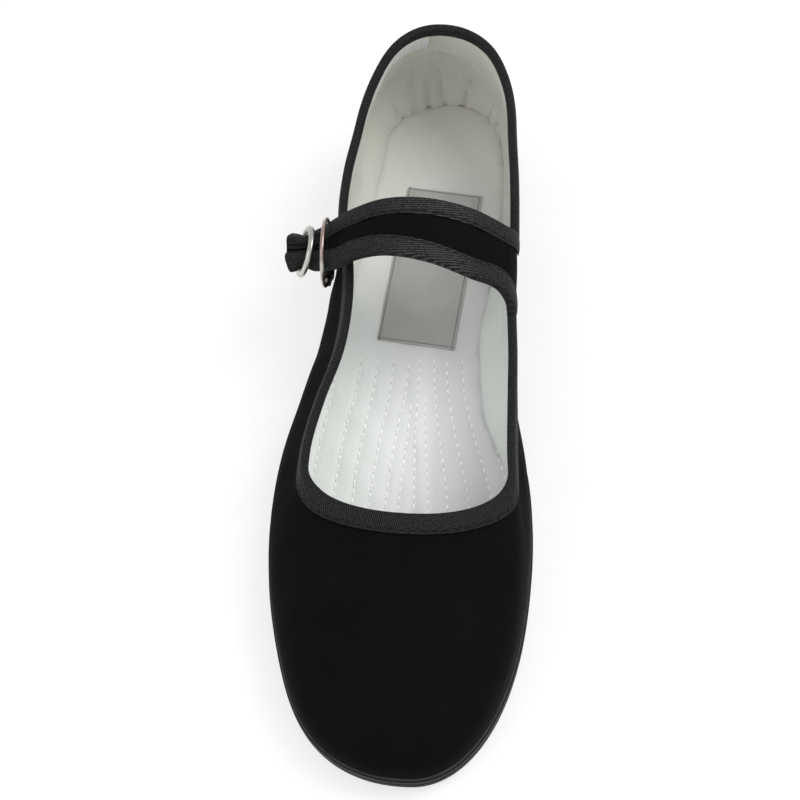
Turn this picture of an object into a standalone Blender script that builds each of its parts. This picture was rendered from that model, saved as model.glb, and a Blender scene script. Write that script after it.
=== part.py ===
"""Chinese cloth shoe for the right foot, with a strap across the instep that runs out through two rings.

Lengths are in metres. The toe points to -Y, the big toe's side is +X, and the sole stands on z = 0.
"""
import math

import bmesh
import bpy
import numpy as np

# Main sizes
SOLE_LENGTH = 0.250
HEEL_WIDTH = 0.0575
BALL_WIDTH = 0.085
HEEL_THICKNESS = 0.014
BALL_THICKNESS = 0.007
TOE_SPRING = 0.0045
ARCH_LIFT = 0.0026
HEEL_HEIGHT = 0.0615  # top of the collar at the back
INSTEP_HEIGHT = 0.0395  # top of the throat at the front
OPENING_LENGTH = 0.1680
OPENING_SETBACK = 0.0064  # from the back of the sole to the back of the collar
OPENING_WIDTH = 0.066  # throat, where it is widest

# Walls and clearances
CLEARANCE = 0.0003
UPPER_WALL = 0.0012
UPPER_SETBACK = 0.0011  # the upper's foot, in from the edge of the sole
INSOLE_THICKNESS = 0.0035
INSOLE_FIT = 0.0038  # between the insole's edge and the upper's lining
TAPE_THICKNESS = 0.0004
TAPE_WIDTH = 0.0065
COLLAR_TAPE_WIDTH = 0.0058  # outside the collar
TAPE_TURN = 0.0030  # how far the collar's tape comes down inside

# Sole tread
RIM_WIDTH = 0.0055
CHAMFER = 0.0009
GROOVE_WIDTH = 0.0022
GROOVE_DEPTH = 0.0014
GROOVE_PITCH = 0.0068
GROOVE_WALL = 0.0004
PAD_LENGTH = 0.0082  # plain stretch at the heel's and the forefoot's middle

# Strap and rings
STRAP_PLACE = 0.369  # middle of the strap's root, as a share of the sole's length from the heel
STRAP_WIDTH = 0.0195
STRAP_WALL = 0.0016
STRAP_RISE = 0.0155  # arch of the strap over the two toplines
INNER_RING_PLACE = 0.850  # along the strap
INNER_RING_DIAMETER = 0.0230
INNER_RING_WIRE = 0.0014
INNER_RING_DROP = 0.0028  # from the strap's middle down to the ring's
OUTER_RING_PLACE = 0.932
OUTER_RING_DIAMETER = 0.0172
OUTER_RING_WIRE = 0.0021
OUTER_RING_LEAN = math.radians(22.0)
TAB_WIDTH = 0.0060
TAB_THICKNESS = 0.0008
TAB_DEPTH = 0.0062  # from the ring's lower arc down to the tab's sewn end

# Label
LABEL_PLACE = 0.2926
LABEL_SHIFT = -0.0017
LABEL_LENGTH = 0.0588
LABEL_WIDTH = 0.026
LABEL_THICKNESS = 0.0005
LABEL_TURN = math.radians(-7.0)

# The sole's outline, from the back of the heel to the tip of the toe
SOLE_COLUMNS = ("along", "width", "lateral", "medial")
SOLE_ROWS = (
    (0.00, HEEL_WIDTH, 0.496, 0.445),
    (0.10, HEEL_WIDTH, 0.496, 0.445),
    (0.20, HEEL_WIDTH, 0.537, 0.470),
    (0.30, HEEL_WIDTH, 0.577, 0.455),
    (0.40, BALL_WIDTH, 0.438, 0.295),
    (0.50, BALL_WIDTH, 0.511, 0.325),
    (0.58, BALL_WIDTH, 0.564, 0.395),
    (0.66, BALL_WIDTH, 0.583, 0.423),
    (0.74, BALL_WIDTH, 0.573, 0.426),
    (0.86, BALL_WIDTH, 0.577, 0.436),
    (1.00, BALL_WIDTH, 0.655, 0.447),
)
# Rounding of an end: share of the length that it takes, and two powers, 2 and 2 for an ellipse
SOLE_HEEL_ROUND = (0.10, 2.0, 2.0)
SOLE_TOE_ROUND = (0.30, 1.9, 2.2)

# The foot bed: shares of heel thickness over ball thickness, of arch lift and of toe spring
BED_COLUMNS = ("along", "heel", "arch", "spring")
BED_ROWS = (
    (0.00, 1.00, 0.00, 0.00),
    (0.10, 0.98, 0.00, 0.00),
    (0.28, 0.86, 0.00, 0.00),
    (0.36, 0.66, 0.60, 0.00),
    (0.44, 0.42, 1.00, 0.00),
    (0.52, 0.20, 0.50, 0.00),
    (0.60, 0.06, 0.00, 0.00),
    (0.70, 0.00, 0.00, 0.00),
    (0.80, 0.00, 0.00, 0.00),
    (0.90, 0.00, 0.00, 0.32),
    (1.00, 0.00, 0.00, 1.00),
)

# The topline, from the back of the collar to the front of the throat: half widths as shares of the
# opening's width, height as a share of the way from the instep's height to the heel's
TOP_COLUMNS = ("along", "lateral", "medial", "height")
TOP_ROWS = (
    (0.00, 0.320, 0.364, 1.00),
    (0.05, 0.334, 0.377, 0.97),
    (0.10, 0.352, 0.383, 0.83),
    (0.20, 0.392, 0.389, 0.62),
    (0.30, 0.439, 0.409, 0.48),
    (0.40, 0.445, 0.420, 0.40),
    (0.48, 0.403, 0.424, 0.31),
    (0.56, 0.392, 0.420, 0.19),
    (0.66, 0.418, 0.433, 0.07),
    (0.76, 0.494, 0.438, -0.02),
    (0.86, 0.545, 0.445, -0.05),
    (0.93, 0.548, 0.457, -0.03),
    (1.00, 0.548, 0.457, 0.00),
)
TOP_HEEL_ROUND = (0.20, 2.2, 2.2)
TOP_THROAT_ROUND = (0.10, 2.2, 2.2)

# The upper's ribs, from the sole up to the topline: each starts at a share of the way round one side of
# the sole and ends at a share of the way round the topline. It leaves the sole bulging by "out" and
# rising by "rise", and meets the topline from "back" outside it and "drop" below it. Back is a share of
# the rib's reach across the topline in plan, and the other three are shares of its height.
RIB_COLUMNS = ("around", "top", "out", "rise", "back", "drop")
RIB_ROWS = (
    (0.00, 0.000, 0.045, 0.38, 0.55, 0.38),
    (0.12, 0.104, 0.045, 0.38, 0.50, 0.36),
    (0.21, 0.235, 0.050, 0.38, 0.40, 0.34),
    (0.28, 0.335, 0.060, 0.38, 0.38, 0.34),
    (0.35, 0.430, 0.060, 0.40, 0.30, 0.34),
    (0.42, 0.525, 0.060, 0.42, 0.20, 0.34),
    (0.49, 0.615, 0.060, 0.46, 0.14, 0.34),
    (0.56, 0.700, 0.060, 0.50, 0.12, 0.35),
    (0.64, 0.775, 0.060, 0.54, 0.10, 0.35),
    (0.74, 0.835, 0.055, 0.58, 0.20, 0.34),
    (0.83, 0.875, 0.045, 0.60, 0.38, 0.29),
    (0.91, 0.930, 0.030, 0.62, 0.52, 0.25),
    (1.00, 1.000, 0.030, 0.62, 0.55, 0.25),
)

# The side of the sole, from its top edge to its bottom edge: a lip, a groove and a wall. Height is a
# share of the thickness there, and inset is in chamfers.
SIDE_COLUMNS = ("height", "inset")
SIDE_ROWS = (
    (1.00, 0.50),
    (0.94, 0.00),
    (0.66, 0.00),
    (0.60, 0.85),
    (0.50, 0.85),
    (0.44, 0.20),
    (0.12, 0.20),
    (0.00, 1.20),
)

# Tread: the stretches of the length that have grooves across, and the middle of the plain pad in each
TREAD_COLUMNS = ("start", "end", "pad")
TREAD_ROWS = (
    (0.060, 0.275, 0.165),
    (0.575, 0.850, 0.690),
)

# The strap's middle line, from its root on the medial topline to its loose end. "Across" is 0 at the
# root and 1 over the lateral topline, "forward" is a share of the sole's length from the root, and "rise"
# a share of the strap's rise over the two toplines. "Width" is a share of the strap's width, "tilt" of
# the topline's slope at the root, and "fold" of the strap's width, for the height of its two lobes.
STRAP_COLUMNS = ("along", "across", "forward", "rise", "width", "tilt", "fold")
STRAP_ROWS = (
    (0.000, 0.000, 0.000, 0.00, 1.42, 1.0, 0.00),
    (0.041, 0.008, -0.002, 0.22, 1.32, 0.8, 0.00),
    (0.110, 0.060, -0.004, 0.56, 1.18, 0.5, 0.00),
    (0.242, 0.245, -0.012, 0.91, 1.24, 0.2, 0.00),
    (0.405, 0.506, -0.026, 1.02, 1.16, 0.0, 0.00),
    (0.567, 0.766, -0.032, 0.92, 1.05, 0.0, 0.00),
    (0.692, 0.942, -0.031, 0.63, 0.97, 0.1, 0.00),
    (0.792, 1.060, -0.028, 0.31, 0.94, 0.3, 0.02),
    (0.854, 1.147, -0.030, 0.03, 0.82, 0.2, 0.05),
    (0.897, 1.212, -0.030, -0.08, 0.74, 0.0, 0.07),
    (0.932, 1.268, -0.030, -0.12, 0.59, 0.0, 0.09),
    (0.966, 1.323, -0.029, -0.14, 0.68, 0.0, 0.09),
    (1.000, 1.379, -0.029, -0.15, 0.72, 0.0, 0.08),
)

# Mesh resolution
RIBS_A_SIDE = 33
UPPER_LEVELS = (0.0, 0.16, 0.33, 0.50, 0.67, 0.84, 1.0)  # from the sole up to the tape
SOLE_STATIONS = 30
STRAP_STATIONS = 27

Y_BACK = SOLE_LENGTH / 2
TAPE_OUT = CLEARANCE + TAPE_THICKNESS


def column(rows, columns, name):
    place = columns.index(name)
    return np.array([row[place] for row in rows], float)


def curve(rows, columns, name, at, level=False):
    """A smooth curve through one column of a table; with level it never passes beyond its rows."""
    key = column(rows, columns, columns[0])
    value = column(rows, columns, name)
    slope = np.gradient(value, key)
    if level:
        rise = np.diff(value) / np.diff(key)
        before = np.concatenate([[0.0], rise])
        after = np.concatenate([rise, [0.0]])
        agree = before * after > 0
        slope = np.where(agree, 2 * before * after / np.where(agree, before + after, 1.0), 0.0)
    at = np.asarray(at, float)
    i = np.clip(np.searchsorted(key, at, side="right") - 1, 0, len(key) - 2)
    span = key[i + 1] - key[i]
    f = (at - key[i]) / span
    return (
        value[i] * (2 * f**3 - 3 * f**2 + 1)
        + value[i + 1] * (3 * f**2 - 2 * f**3)
        + span * slope[i] * (f**3 - 2 * f**2 + f)
        + span * slope[i + 1] * (f**3 - f**2)
    )


def rounding(along, heel, toe):
    """Shrinks half widths to nothing at both ends of an outline."""
    shrink = np.ones_like(along)
    for distance, (share, inner, outer) in ((along, heel), (1 - along, toe)):
        near = distance < share
        left = np.maximum(0, 1 - ((share - distance[near]) / share) ** inner)
        shrink[near] = left ** (1 / outer)
    return shrink


def unit(vectors):
    return vectors / np.maximum(np.linalg.norm(vectors, axis=-1, keepdims=True), 1e-12)


def outward(ring):
    """The outward normals in plan of a ring of points that runs anticlockwise from above."""
    step = np.roll(ring, -1, axis=0) - np.roll(ring, 1, axis=0)
    return unit(np.stack([step[:, 1], -step[:, 0]], axis=1))


def sole_sides(along):
    """Points of the sole's outline on the medial and lateral sides."""
    width = column(SOLE_ROWS, SOLE_COLUMNS, "width")
    key = column(SOLE_ROWS, SOLE_COLUMNS, "along")
    shrink = rounding(along, SOLE_HEEL_ROUND, SOLE_TOE_ROUND)
    y = Y_BACK - SOLE_LENGTH * along
    sides = []
    for name, sign in (("medial", 1), ("lateral", -1)):
        rows = tuple(zip(key, width * column(SOLE_ROWS, SOLE_COLUMNS, name)))
        half = curve(rows, ("along", "half"), "half", along)
        sides.append(np.stack([sign * half * shrink, y], axis=1))
    return sides


def top_sides(along):
    """Points of the topline on the medial and lateral sides, with their heights."""
    shrink = rounding(along, TOP_HEEL_ROUND, TOP_THROAT_ROUND)
    y = Y_BACK - OPENING_SETBACK - OPENING_LENGTH * along
    share = curve(TOP_ROWS, TOP_COLUMNS, "height", along)
    z = INSTEP_HEIGHT + (HEEL_HEIGHT - INSTEP_HEIGHT) * share
    sides = []
    for name, sign in (("medial", 1), ("lateral", -1)):
        half = OPENING_WIDTH * curve(TOP_ROWS, TOP_COLUMNS, name, along)
        sides.append(np.stack([sign * half * shrink, y, z], axis=1))
    return sides


def by_length(points, shares):
    """Points at shares of the way along a line of points."""
    steps = np.linalg.norm(np.diff(points[:, :2], axis=0), axis=1)
    length = np.concatenate([[0.0], np.cumsum(steps)])
    at = shares * length[-1]
    return np.stack([np.interp(at, length, points[:, k]) for k in range(points.shape[1])], axis=1)


def ring_of(sides, shares):
    """A ring down the medial side and back up the lateral side, running anticlockwise from above."""
    medial = by_length(sides[0], shares)
    lateral = by_length(sides[1], shares)
    return np.concatenate([medial, lateral[-2:0:-1]])[::-1]


def bed_top(y):
    along = np.clip((Y_BACK - y) / SOLE_LENGTH, 0, 1)
    heel = curve(BED_ROWS, BED_COLUMNS, "heel", along, level=True)
    spring = curve(BED_ROWS, BED_COLUMNS, "spring", along, level=True)
    return BALL_THICKNESS + (HEEL_THICKNESS - BALL_THICKNESS) * heel + TOE_SPRING * spring


def bed_bottom(y):
    along = np.clip((Y_BACK - y) / SOLE_LENGTH, 0, 1)
    arch = curve(BED_ROWS, BED_COLUMNS, "arch", along, level=True)
    spring = curve(BED_ROWS, BED_COLUMNS, "spring", along, level=True)
    return ARCH_LIFT * arch + TOE_SPRING * spring


def rib_controls():
    """Four control points for each of the upper's ribs, in a ring."""
    fine = 0.5 * (1 - np.cos(math.pi * np.linspace(0, 1, 1201)))
    shares = np.linspace(0, 1, RIBS_A_SIDE + 1)
    mirrored = np.concatenate([shares, shares[-2:0:-1]])[::-1]

    def around(name):
        return curve(RIB_ROWS, RIB_COLUMNS, name, mirrored)

    foot = ring_of(sole_sides(fine), shares)
    top = ring_of(top_sides(fine), curve(RIB_ROWS, RIB_COLUMNS, "top", shares, level=True))
    foot_normal = outward(foot)
    foot = foot - UPPER_SETBACK * foot_normal
    foot = np.column_stack([foot, bed_top(foot[:, 1]) + CLEARANCE])
    height = (top[:, 2] - foot[:, 2])[:, None]
    foot_out = np.column_stack([foot_normal, np.zeros(len(foot))])
    top_out = np.column_stack([outward(top[:, :2]), np.zeros(len(top))])
    reach = np.maximum(0, ((foot - top) * top_out).sum(axis=1))[:, None]
    up = np.array([0.0, 0.0, 1.0])
    leave = foot + foot_out * around("out")[:, None] * height + up * around("rise")[:, None] * height
    arrive = top + top_out * around("back")[:, None] * reach - up * around("drop")[:, None] * height
    return np.stack([foot, leave, arrive, top], axis=1)


def skin(controls, levels, offset=0.0):
    """Points of the upper's outer skin at levels from the foot, 0, to the topline, 1, moved out by offset."""
    levels = np.broadcast_to(levels, (len(controls), np.shape(levels)[-1]))[..., None]
    rest = 1 - levels
    mixed = 6 * rest * levels
    weights = np.concatenate([rest**3, 3 * rest**2 * levels, 3 * rest * levels**2, levels**3], axis=-1)
    slopes = [-3 * rest**2, 3 * rest**2 - mixed, mixed - 3 * levels**2, 3 * levels**2]
    slopes = np.concatenate(slopes, axis=-1)
    turn = np.roll(controls, -1, axis=0) - np.roll(controls, 1, axis=0)
    normal = unit(np.cross(weights @ turn, slopes @ controls))
    return weights @ controls + offset * normal


def levels_below(controls, distance):
    """The level of each rib that lies this distance down from the topline."""
    fine = np.linspace(1, 0, 81)
    points = skin(controls, fine)
    steps = np.linalg.norm(np.diff(points, axis=1), axis=2)
    length = np.concatenate([np.zeros((len(points), 1)), np.cumsum(steps, axis=1)], axis=1)
    return np.array([np.interp(distance, row, fine) for row in length])[:, None]


def material(name, colour, roughness, metallic=0.0):
    made = bpy.data.materials.new(name)
    made.use_nodes = True
    shader = made.node_tree.nodes["Principled BSDF"]
    shader.inputs["Base Color"].default_value = (*colour, 1.0)
    shader.inputs["Roughness"].default_value = roughness
    shader.inputs["Metallic"].default_value = metallic
    return made


def add_object(name, mesh, slot, sharp=40.0):
    mesh.materials.append(slot)
    mesh.shade_smooth()
    mesh.set_sharp_from_angle(angle=math.radians(sharp))
    made = bpy.data.objects.new(name, mesh)
    shoe_parts.objects.link(made)
    made.parent = shoe
    return made


def loft(name, sections, slot, closed=False):
    """A solid through closed sections with equal numbers of points; an open run of them gets end caps."""
    count, points = sections.shape[:2]
    bm = bmesh.new()
    verts = [[bm.verts.new(point) for point in section] for section in sections]
    for i in range(count if closed else count - 1):
        here, there = verts[i], verts[(i + 1) % count]
        for k in range(points):
            nxt = (k + 1) % points
            bm.faces.new((here[k], here[nxt], there[nxt], there[k]))
    if not closed:
        bm.faces.new(verts[0])
        bm.faces.new(verts[-1])
    bmesh.ops.remove_doubles(bm, verts=bm.verts, dist=1e-6)
    bmesh.ops.dissolve_degenerate(bm, edges=bm.edges, dist=1e-7)
    bmesh.ops.triangulate(bm, faces=bm.faces)
    bmesh.ops.recalc_face_normals(bm, faces=bm.faces)
    mesh = bpy.data.meshes.new(name)
    bm.to_mesh(mesh)
    bm.free()
    return add_object(name, mesh, slot)


def inset_sides(along, inset):
    """The sole's outline moved inwards, as medial and lateral points at the same stations."""
    medial, lateral = sole_sides(along)
    ring = np.concatenate([medial, lateral[-2:0:-1]])[::-1]
    moved = (ring - inset * outward(ring))[::-1]
    count = len(along)
    return moved[:count], np.concatenate([moved[:1], moved[:count - 2:-1]])


def end_stations(count):
    return 0.5 * (1 - np.cos(math.pi * np.linspace(0, 1, count)))


def tread_stations():
    """Stations along the sole, with True where a groove is cut."""
    groove = GROOVE_WIDTH / SOLE_LENGTH
    wall = GROOVE_WALL / SOLE_LENGTH
    cuts = []
    starts, ends, pads = (column(TREAD_ROWS, TREAD_COLUMNS, name) for name in TREAD_COLUMNS)
    for start, end, pad in zip(starts, ends, pads):
        number = int((end - start) * SOLE_LENGTH / GROOVE_PITCH)
        for middle in start + (np.arange(number) + 0.5) * (end - start) / number:
            if abs(middle - pad) > PAD_LENGTH / 2 / SOLE_LENGTH:
                cuts.append(middle)
    cut = np.array(cuts)
    outer = groove / 2 + wall
    edges = [(cut - outer, False), (cut - groove / 2, True), (cut + groove / 2, True), (cut + outer, False)]
    stations = [(place, deep) for places, deep in edges for place in places]
    for place in end_stations(SOLE_STATIONS):
        if np.abs(cut - place).min() > outer + wall:
            stations.append((place, False))
    stations.sort()
    return np.array([place for place, _ in stations]), np.array([deep for _, deep in stations])


def build_outsole():
    along, deep = tread_stations()

    def line(inset, height, lift=0.0):
        """One line of points down each side, at a share of the sole's thickness there."""
        pair = []
        for side in inset_sides(along, inset):
            low = bed_bottom(side[:, 1])
            high = bed_top(side[:, 1])
            pair.append(np.column_stack([side, low + (high - low) * height + lift]))
        return pair

    heights = column(SIDE_ROWS, SIDE_COLUMNS, "height")
    insets = CHAMFER * column(SIDE_ROWS, SIDE_COLUMNS, "inset")
    side_lines = [line(inset, height) for inset, height in zip(insets, heights)]
    rim = line(RIM_WIDTH, 0.0)
    field = line(RIM_WIDTH + GROOVE_WALL, 0.0, GROOVE_DEPTH * deep)
    bottom = [rim, field]
    medial = [pair[0] for pair in side_lines + bottom]
    lateral = [pair[1] for pair in side_lines + bottom]
    middle = [medial[-1] + (lateral[-1] - medial[-1]) * share for share in (1 / 3, 2 / 3)]
    across = [lateral[0] + (medial[0] - lateral[0]) * share for share in (1 / 3, 2 / 3)]
    sections = np.stack(medial + middle + lateral[::-1] + across, axis=1)
    return loft("outsole", sections, rubber)


def tape_levels(controls):
    """The levels of the tape's lower edge outside, of the one inside, and of its top, for each rib."""
    places = [levels_below(controls, distance) for distance in (COLLAR_TAPE_WIDTH, TAPE_TURN)]
    return [*places, np.ones((len(controls), 1))]


def build_upper(controls):
    deep, turned, edge = tape_levels(controls)
    levels = np.concatenate([deep * np.array(UPPER_LEVELS), turned, edge], axis=1)
    outer = skin(controls, levels)
    inner = skin(controls, levels, -UPPER_WALL)
    inner[:, 0, 2] = outer[:, 0, 2]
    return loft("upper", np.concatenate([outer, inner[:, ::-1]], axis=1), velvet, closed=True)


def build_insole():
    along = end_stations(SOLE_STATIONS)
    inset = UPPER_SETBACK + UPPER_WALL + INSOLE_FIT
    medial, lateral = inset_sides(along, inset)
    lines = [medial + (lateral - medial) * share for share in np.linspace(0, 1, 6)]
    low = [np.column_stack([line, bed_top(line[:, 1]) + CLEARANCE]) for line in lines]
    high = [line + (0, 0, INSOLE_THICKNESS) for line in low[::-1]]
    return loft("insole", np.stack(low + high, axis=1), cotton)


def insole_top(y):
    return bed_top(y) + CLEARANCE + INSOLE_THICKNESS


def topline_place(controls, y):
    """Where the medial topline passes y, as a place between the ribs' numbers."""
    toe = RIBS_A_SIDE - 1
    heel = 2 * RIBS_A_SIDE
    return np.interp(y, controls[toe:heel, 3, 1], np.arange(toe, heel))


def between(ring, place):
    """A row of the ring, or a mix of the two beside a place between them."""
    low = int(math.floor(place))
    share = place - low
    return ring[low % len(ring)] * (1 - share) + ring[(low + 1) % len(ring)] * share


def build_collar_binding(controls, first, last):
    """Tape folded over the topline, from behind the strap's root round the heel and throat to before it."""
    deep, turned, edge = tape_levels(controls)
    up = unit(skin(controls, edge) - skin(controls, levels_below(controls, TAPE_WIDTH / 3)))
    inside = UPPER_WALL + CLEARANCE

    def at(level, offset, lift=0.0):
        return skin(controls, level, offset) + up * lift

    section = [
        at(deep, TAPE_OUT),
        at(turned, TAPE_OUT),
        at(edge, TAPE_OUT),
        at(edge, CLEARANCE, TAPE_OUT),
        at(edge, -inside, TAPE_OUT),
        at(edge, -inside - TAPE_THICKNESS),
        at(turned, -inside - TAPE_THICKNESS),
        at(turned, -inside),
        at(edge, -inside, CLEARANCE),
        at(edge, CLEARANCE, CLEARANCE),
        at(turned, CLEARANCE),
        at(deep, CLEARANCE),
    ]
    ring = np.concatenate(section, axis=1)
    whole = np.arange(math.ceil(first), len(ring) + math.floor(last) + 1)
    places = [first, *whole, len(ring) + last]
    return loft("collar_binding", np.stack([between(ring, place) for place in places]), grosgrain)


def strap_frame(controls, along):
    """Centre, direction to the heel, upward normal, half width and fold of the strap along its length."""

    def part(name):
        return curve(STRAP_ROWS, STRAP_COLUMNS, name, along)

    y_root = Y_BACK - SOLE_LENGTH * STRAP_PLACE
    half = STRAP_WIDTH * part("width") / 2
    root_half = STRAP_WIDTH * column(STRAP_ROWS, STRAP_COLUMNS, "width")[0] / 2
    places = topline_place(controls, y_root + root_half * np.array([-1, 0, 1]))
    front, root, rear = (between(controls[:, 3], place) for place in places)
    across = part("across")
    keys = [column(STRAP_ROWS, STRAP_COLUMNS, name) for name in ("across", "along")]
    crossing = np.interp(1.0, *keys)
    y_over = y_root - SOLE_LENGTH * curve(STRAP_ROWS, STRAP_COLUMNS, "forward", crossing)
    lateral = controls[: RIBS_A_SIDE - 1, 3]
    over = [np.interp(-y_over, -lateral[:, 1], lateral[:, k]) for k in range(3)]
    x_root = root[0] - UPPER_WALL / 2
    x = x_root + (over[0] + UPPER_WALL / 2 - x_root) * across
    y = y_root - SOLE_LENGTH * part("forward")
    base = (front[2] + rear[2]) / 2 + 1.5 * CLEARANCE
    z = base + (over[2] - base) * np.clip(across, 0, 1) + STRAP_RISE * part("rise")
    centre = np.column_stack([x, y, z])
    slope = (rear[2] - front[2]) / (rear[1] - front[1]) * part("tilt")
    to_heel = unit(np.column_stack([np.zeros(len(along)), np.ones(len(along)), slope]))
    normal = unit(np.cross(to_heel, np.gradient(centre, axis=0)))
    fold = STRAP_WIDTH * part("fold")
    return centre, to_heel, normal, half[:, None], fold[:, None]


def strap_line(frame, from_edge, side, offset):
    """A line along the strap this far in from its front (-1) or rear (1) edge, raised by offset."""
    centre, to_heel, normal, half, fold = frame
    across = side * (1 - from_edge / half)
    lobes = fold * 0.5 * (1 - np.cos(2 * math.pi * across))
    return centre + to_heel * half * across + normal * (lobes + offset)


def build_strap(frame):
    half = frame[3]
    steps = [TAPE_OUT + (half - TAPE_OUT) * share for share in (0.0, 0.33, 0.67, 1.0)]
    across = [(-1, inset) for inset in steps] + [(1, inset) for inset in steps[-2::-1]]
    top = [strap_line(frame, inset, side, STRAP_WALL / 2) for side, inset in across]
    under = [strap_line(frame, inset, side, -STRAP_WALL / 2) for side, inset in across[::-1]]
    return loft("strap", np.stack(top + under, axis=1), velvet)


def build_strap_binding(name, frame, side):
    """Tape folded over one edge of the strap."""
    half = frame[3]
    width = np.minimum(TAPE_WIDTH, half * 0.75)
    outside = STRAP_WALL / 2 + TAPE_OUT
    inside = STRAP_WALL / 2 + CLEARANCE
    corner = TAPE_THICKNESS

    def at(inset, offset):
        return strap_line(frame, inset, side, offset)

    section = [
        at(width, outside),
        at(width / 2, outside),
        at(corner, outside),
        at(0.0, outside - corner),
        at(0.0, corner - outside),
        at(corner, -outside),
        at(width / 2, -outside),
        at(width, -outside),
        at(width, -inside),
        at(width / 2, -inside),
        at(TAPE_THICKNESS, -inside),
        at(TAPE_THICKNESS, inside),
        at(width / 2, inside),
        at(width, inside),
    ]
    return loft(name, np.stack(section, axis=1), grosgrain)


def build_ring(name, centre, diameter, wire, lean=0.0):
    """A round ring in the plane of Y and Z, with its top leaning to the big toe's side."""
    bpy.ops.mesh.primitive_torus_add(
        major_segments=32,
        minor_segments=8,
        major_radius=(diameter - wire) / 2,
        minor_radius=wire / 2,
        location=centre,
        rotation=(0.0, math.radians(90.0) + lean, 0.0),
    )
    made = bpy.context.object
    made.name = name
    made.data.name = name
    for collection in list(made.users_collection):
        collection.objects.unlink(made)
    shoe_parts.objects.link(made)
    made.parent = shoe
    made.data.materials.append(nickel)
    made.data.shade_smooth()
    return made


def wall_x(controls, y, heights):
    """How far out the upper's lateral side lies at y and at some heights."""
    points = skin(controls[: RIBS_A_SIDE - 1], np.linspace(0, 1, 41))
    found = []
    for height in heights:
        x = [np.interp(height, rib[:, 2], rib[:, 0]) for rib in points]
        along = [np.interp(height, rib[:, 2], rib[:, 1]) for rib in points]
        found.append(np.interp(-y, -np.array(along), x))
    return np.array(found)


def build_ring_tab(controls, ring_centre):
    """A tape loop round the inner ring's lower arc, lying against the upper's side."""
    radius = INNER_RING_WIRE / 2 + 1.5 * CLEARANCE
    arc_z = ring_centre[2] - (INNER_RING_DIAMETER - INNER_RING_WIRE) / 2
    turns = np.linspace(0, math.pi, 7)
    over = [(radius * math.cos(turn), radius * math.sin(turn) + CLEARANCE) for turn in turns]
    down = [(-radius * 0.9, -0.30 * TAB_DEPTH), (-radius * 0.65, -0.65 * TAB_DEPTH), (0.0, -TAB_DEPTH)]
    back = [(radius * 0.65, -0.65 * TAB_DEPTH), (radius * 0.9, -0.30 * TAB_DEPTH)]
    path = np.array(over + down + back)
    step = np.roll(path, -1, axis=0) - np.roll(path, 1, axis=0)
    out = unit(np.stack([step[:, 1], -step[:, 0]], axis=1)) * TAB_THICKNESS
    wall = wall_x(controls, ring_centre[1], arc_z + path[:, 1])
    lean = np.minimum(wall - TAB_THICKNESS - 1.5 * CLEARANCE - radius, ring_centre[0]) - ring_centre[0]
    lean = np.where(path[:, 1] < 0, lean, 0.0)
    sections = []
    for (x, z), (dx, dz), shift in zip(path, out, lean):
        for_y = []
        for side, (ox, oz) in ((-1, (0, 0)), (1, (0, 0)), (1, (dx, dz)), (-1, (dx, dz))):
            y = ring_centre[1] + side * TAB_WIDTH / 2
            for_y.append((ring_centre[0] + shift + x + ox, y, arc_z + z + oz))
        sections.append(for_y)
    return loft("ring_tab", np.array(sections), grosgrain, closed=True)


def build_label():
    """A plain patch that lies on the insole."""
    middle = np.array([LABEL_SHIFT, Y_BACK - SOLE_LENGTH * LABEL_PLACE])
    cos, sin = math.cos(LABEL_TURN), math.sin(LABEL_TURN)
    turn = np.array([[cos, -sin], [sin, cos]])
    sections = []
    for y in np.linspace(-LABEL_LENGTH / 2, LABEL_LENGTH / 2, 9):
        low = []
        for x in (-LABEL_WIDTH / 2, 0.0, LABEL_WIDTH / 2):
            place = middle + turn @ np.array([x, y])
            low.append((*place, insole_top(place[1]) + CLEARANCE))
        high = [(px, py, pz + LABEL_THICKNESS) for px, py, pz in low[::-1]]
        sections.append(low + high)
    return loft("insole_label", np.array(sections), satin)


def centre_on_floor():
    """Moves the shoe so that the box round it stands centred on the origin."""
    bpy.context.view_layer.update()
    pieces = [piece for piece in shoe_parts.objects if piece.data]
    corners = [piece.matrix_world @ vert.co for piece in pieces for vert in piece.data.vertices]
    low = np.min(corners, axis=0)
    high = np.max(corners, axis=0)
    shoe.location = (-(low[0] + high[0]) / 2, -(low[1] + high[1]) / 2, -low[2])


# Scene
for old in list(bpy.data.objects):
    bpy.data.objects.remove(old, do_unlink=True)
shoe_parts = bpy.data.collections.new("chinese_cloth_shoe")
bpy.context.scene.collection.children.link(shoe_parts)
shoe = bpy.data.objects.new("shoe", None)
shoe_parts.objects.link(shoe)

velvet = material("black_velvet", (0.012, 0.012, 0.014), 0.95)
rubber = material("black_rubber", (0.020, 0.020, 0.021), 0.55)
cotton = material("white_cotton", (0.780, 0.770, 0.740), 0.90)
grosgrain = material("black_grosgrain", (0.016, 0.016, 0.017), 0.80)
nickel = material("nickel", (0.720, 0.700, 0.670), 0.22, 1.0)
satin = material("grey_satin", (0.430, 0.430, 0.420), 0.50)

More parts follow.
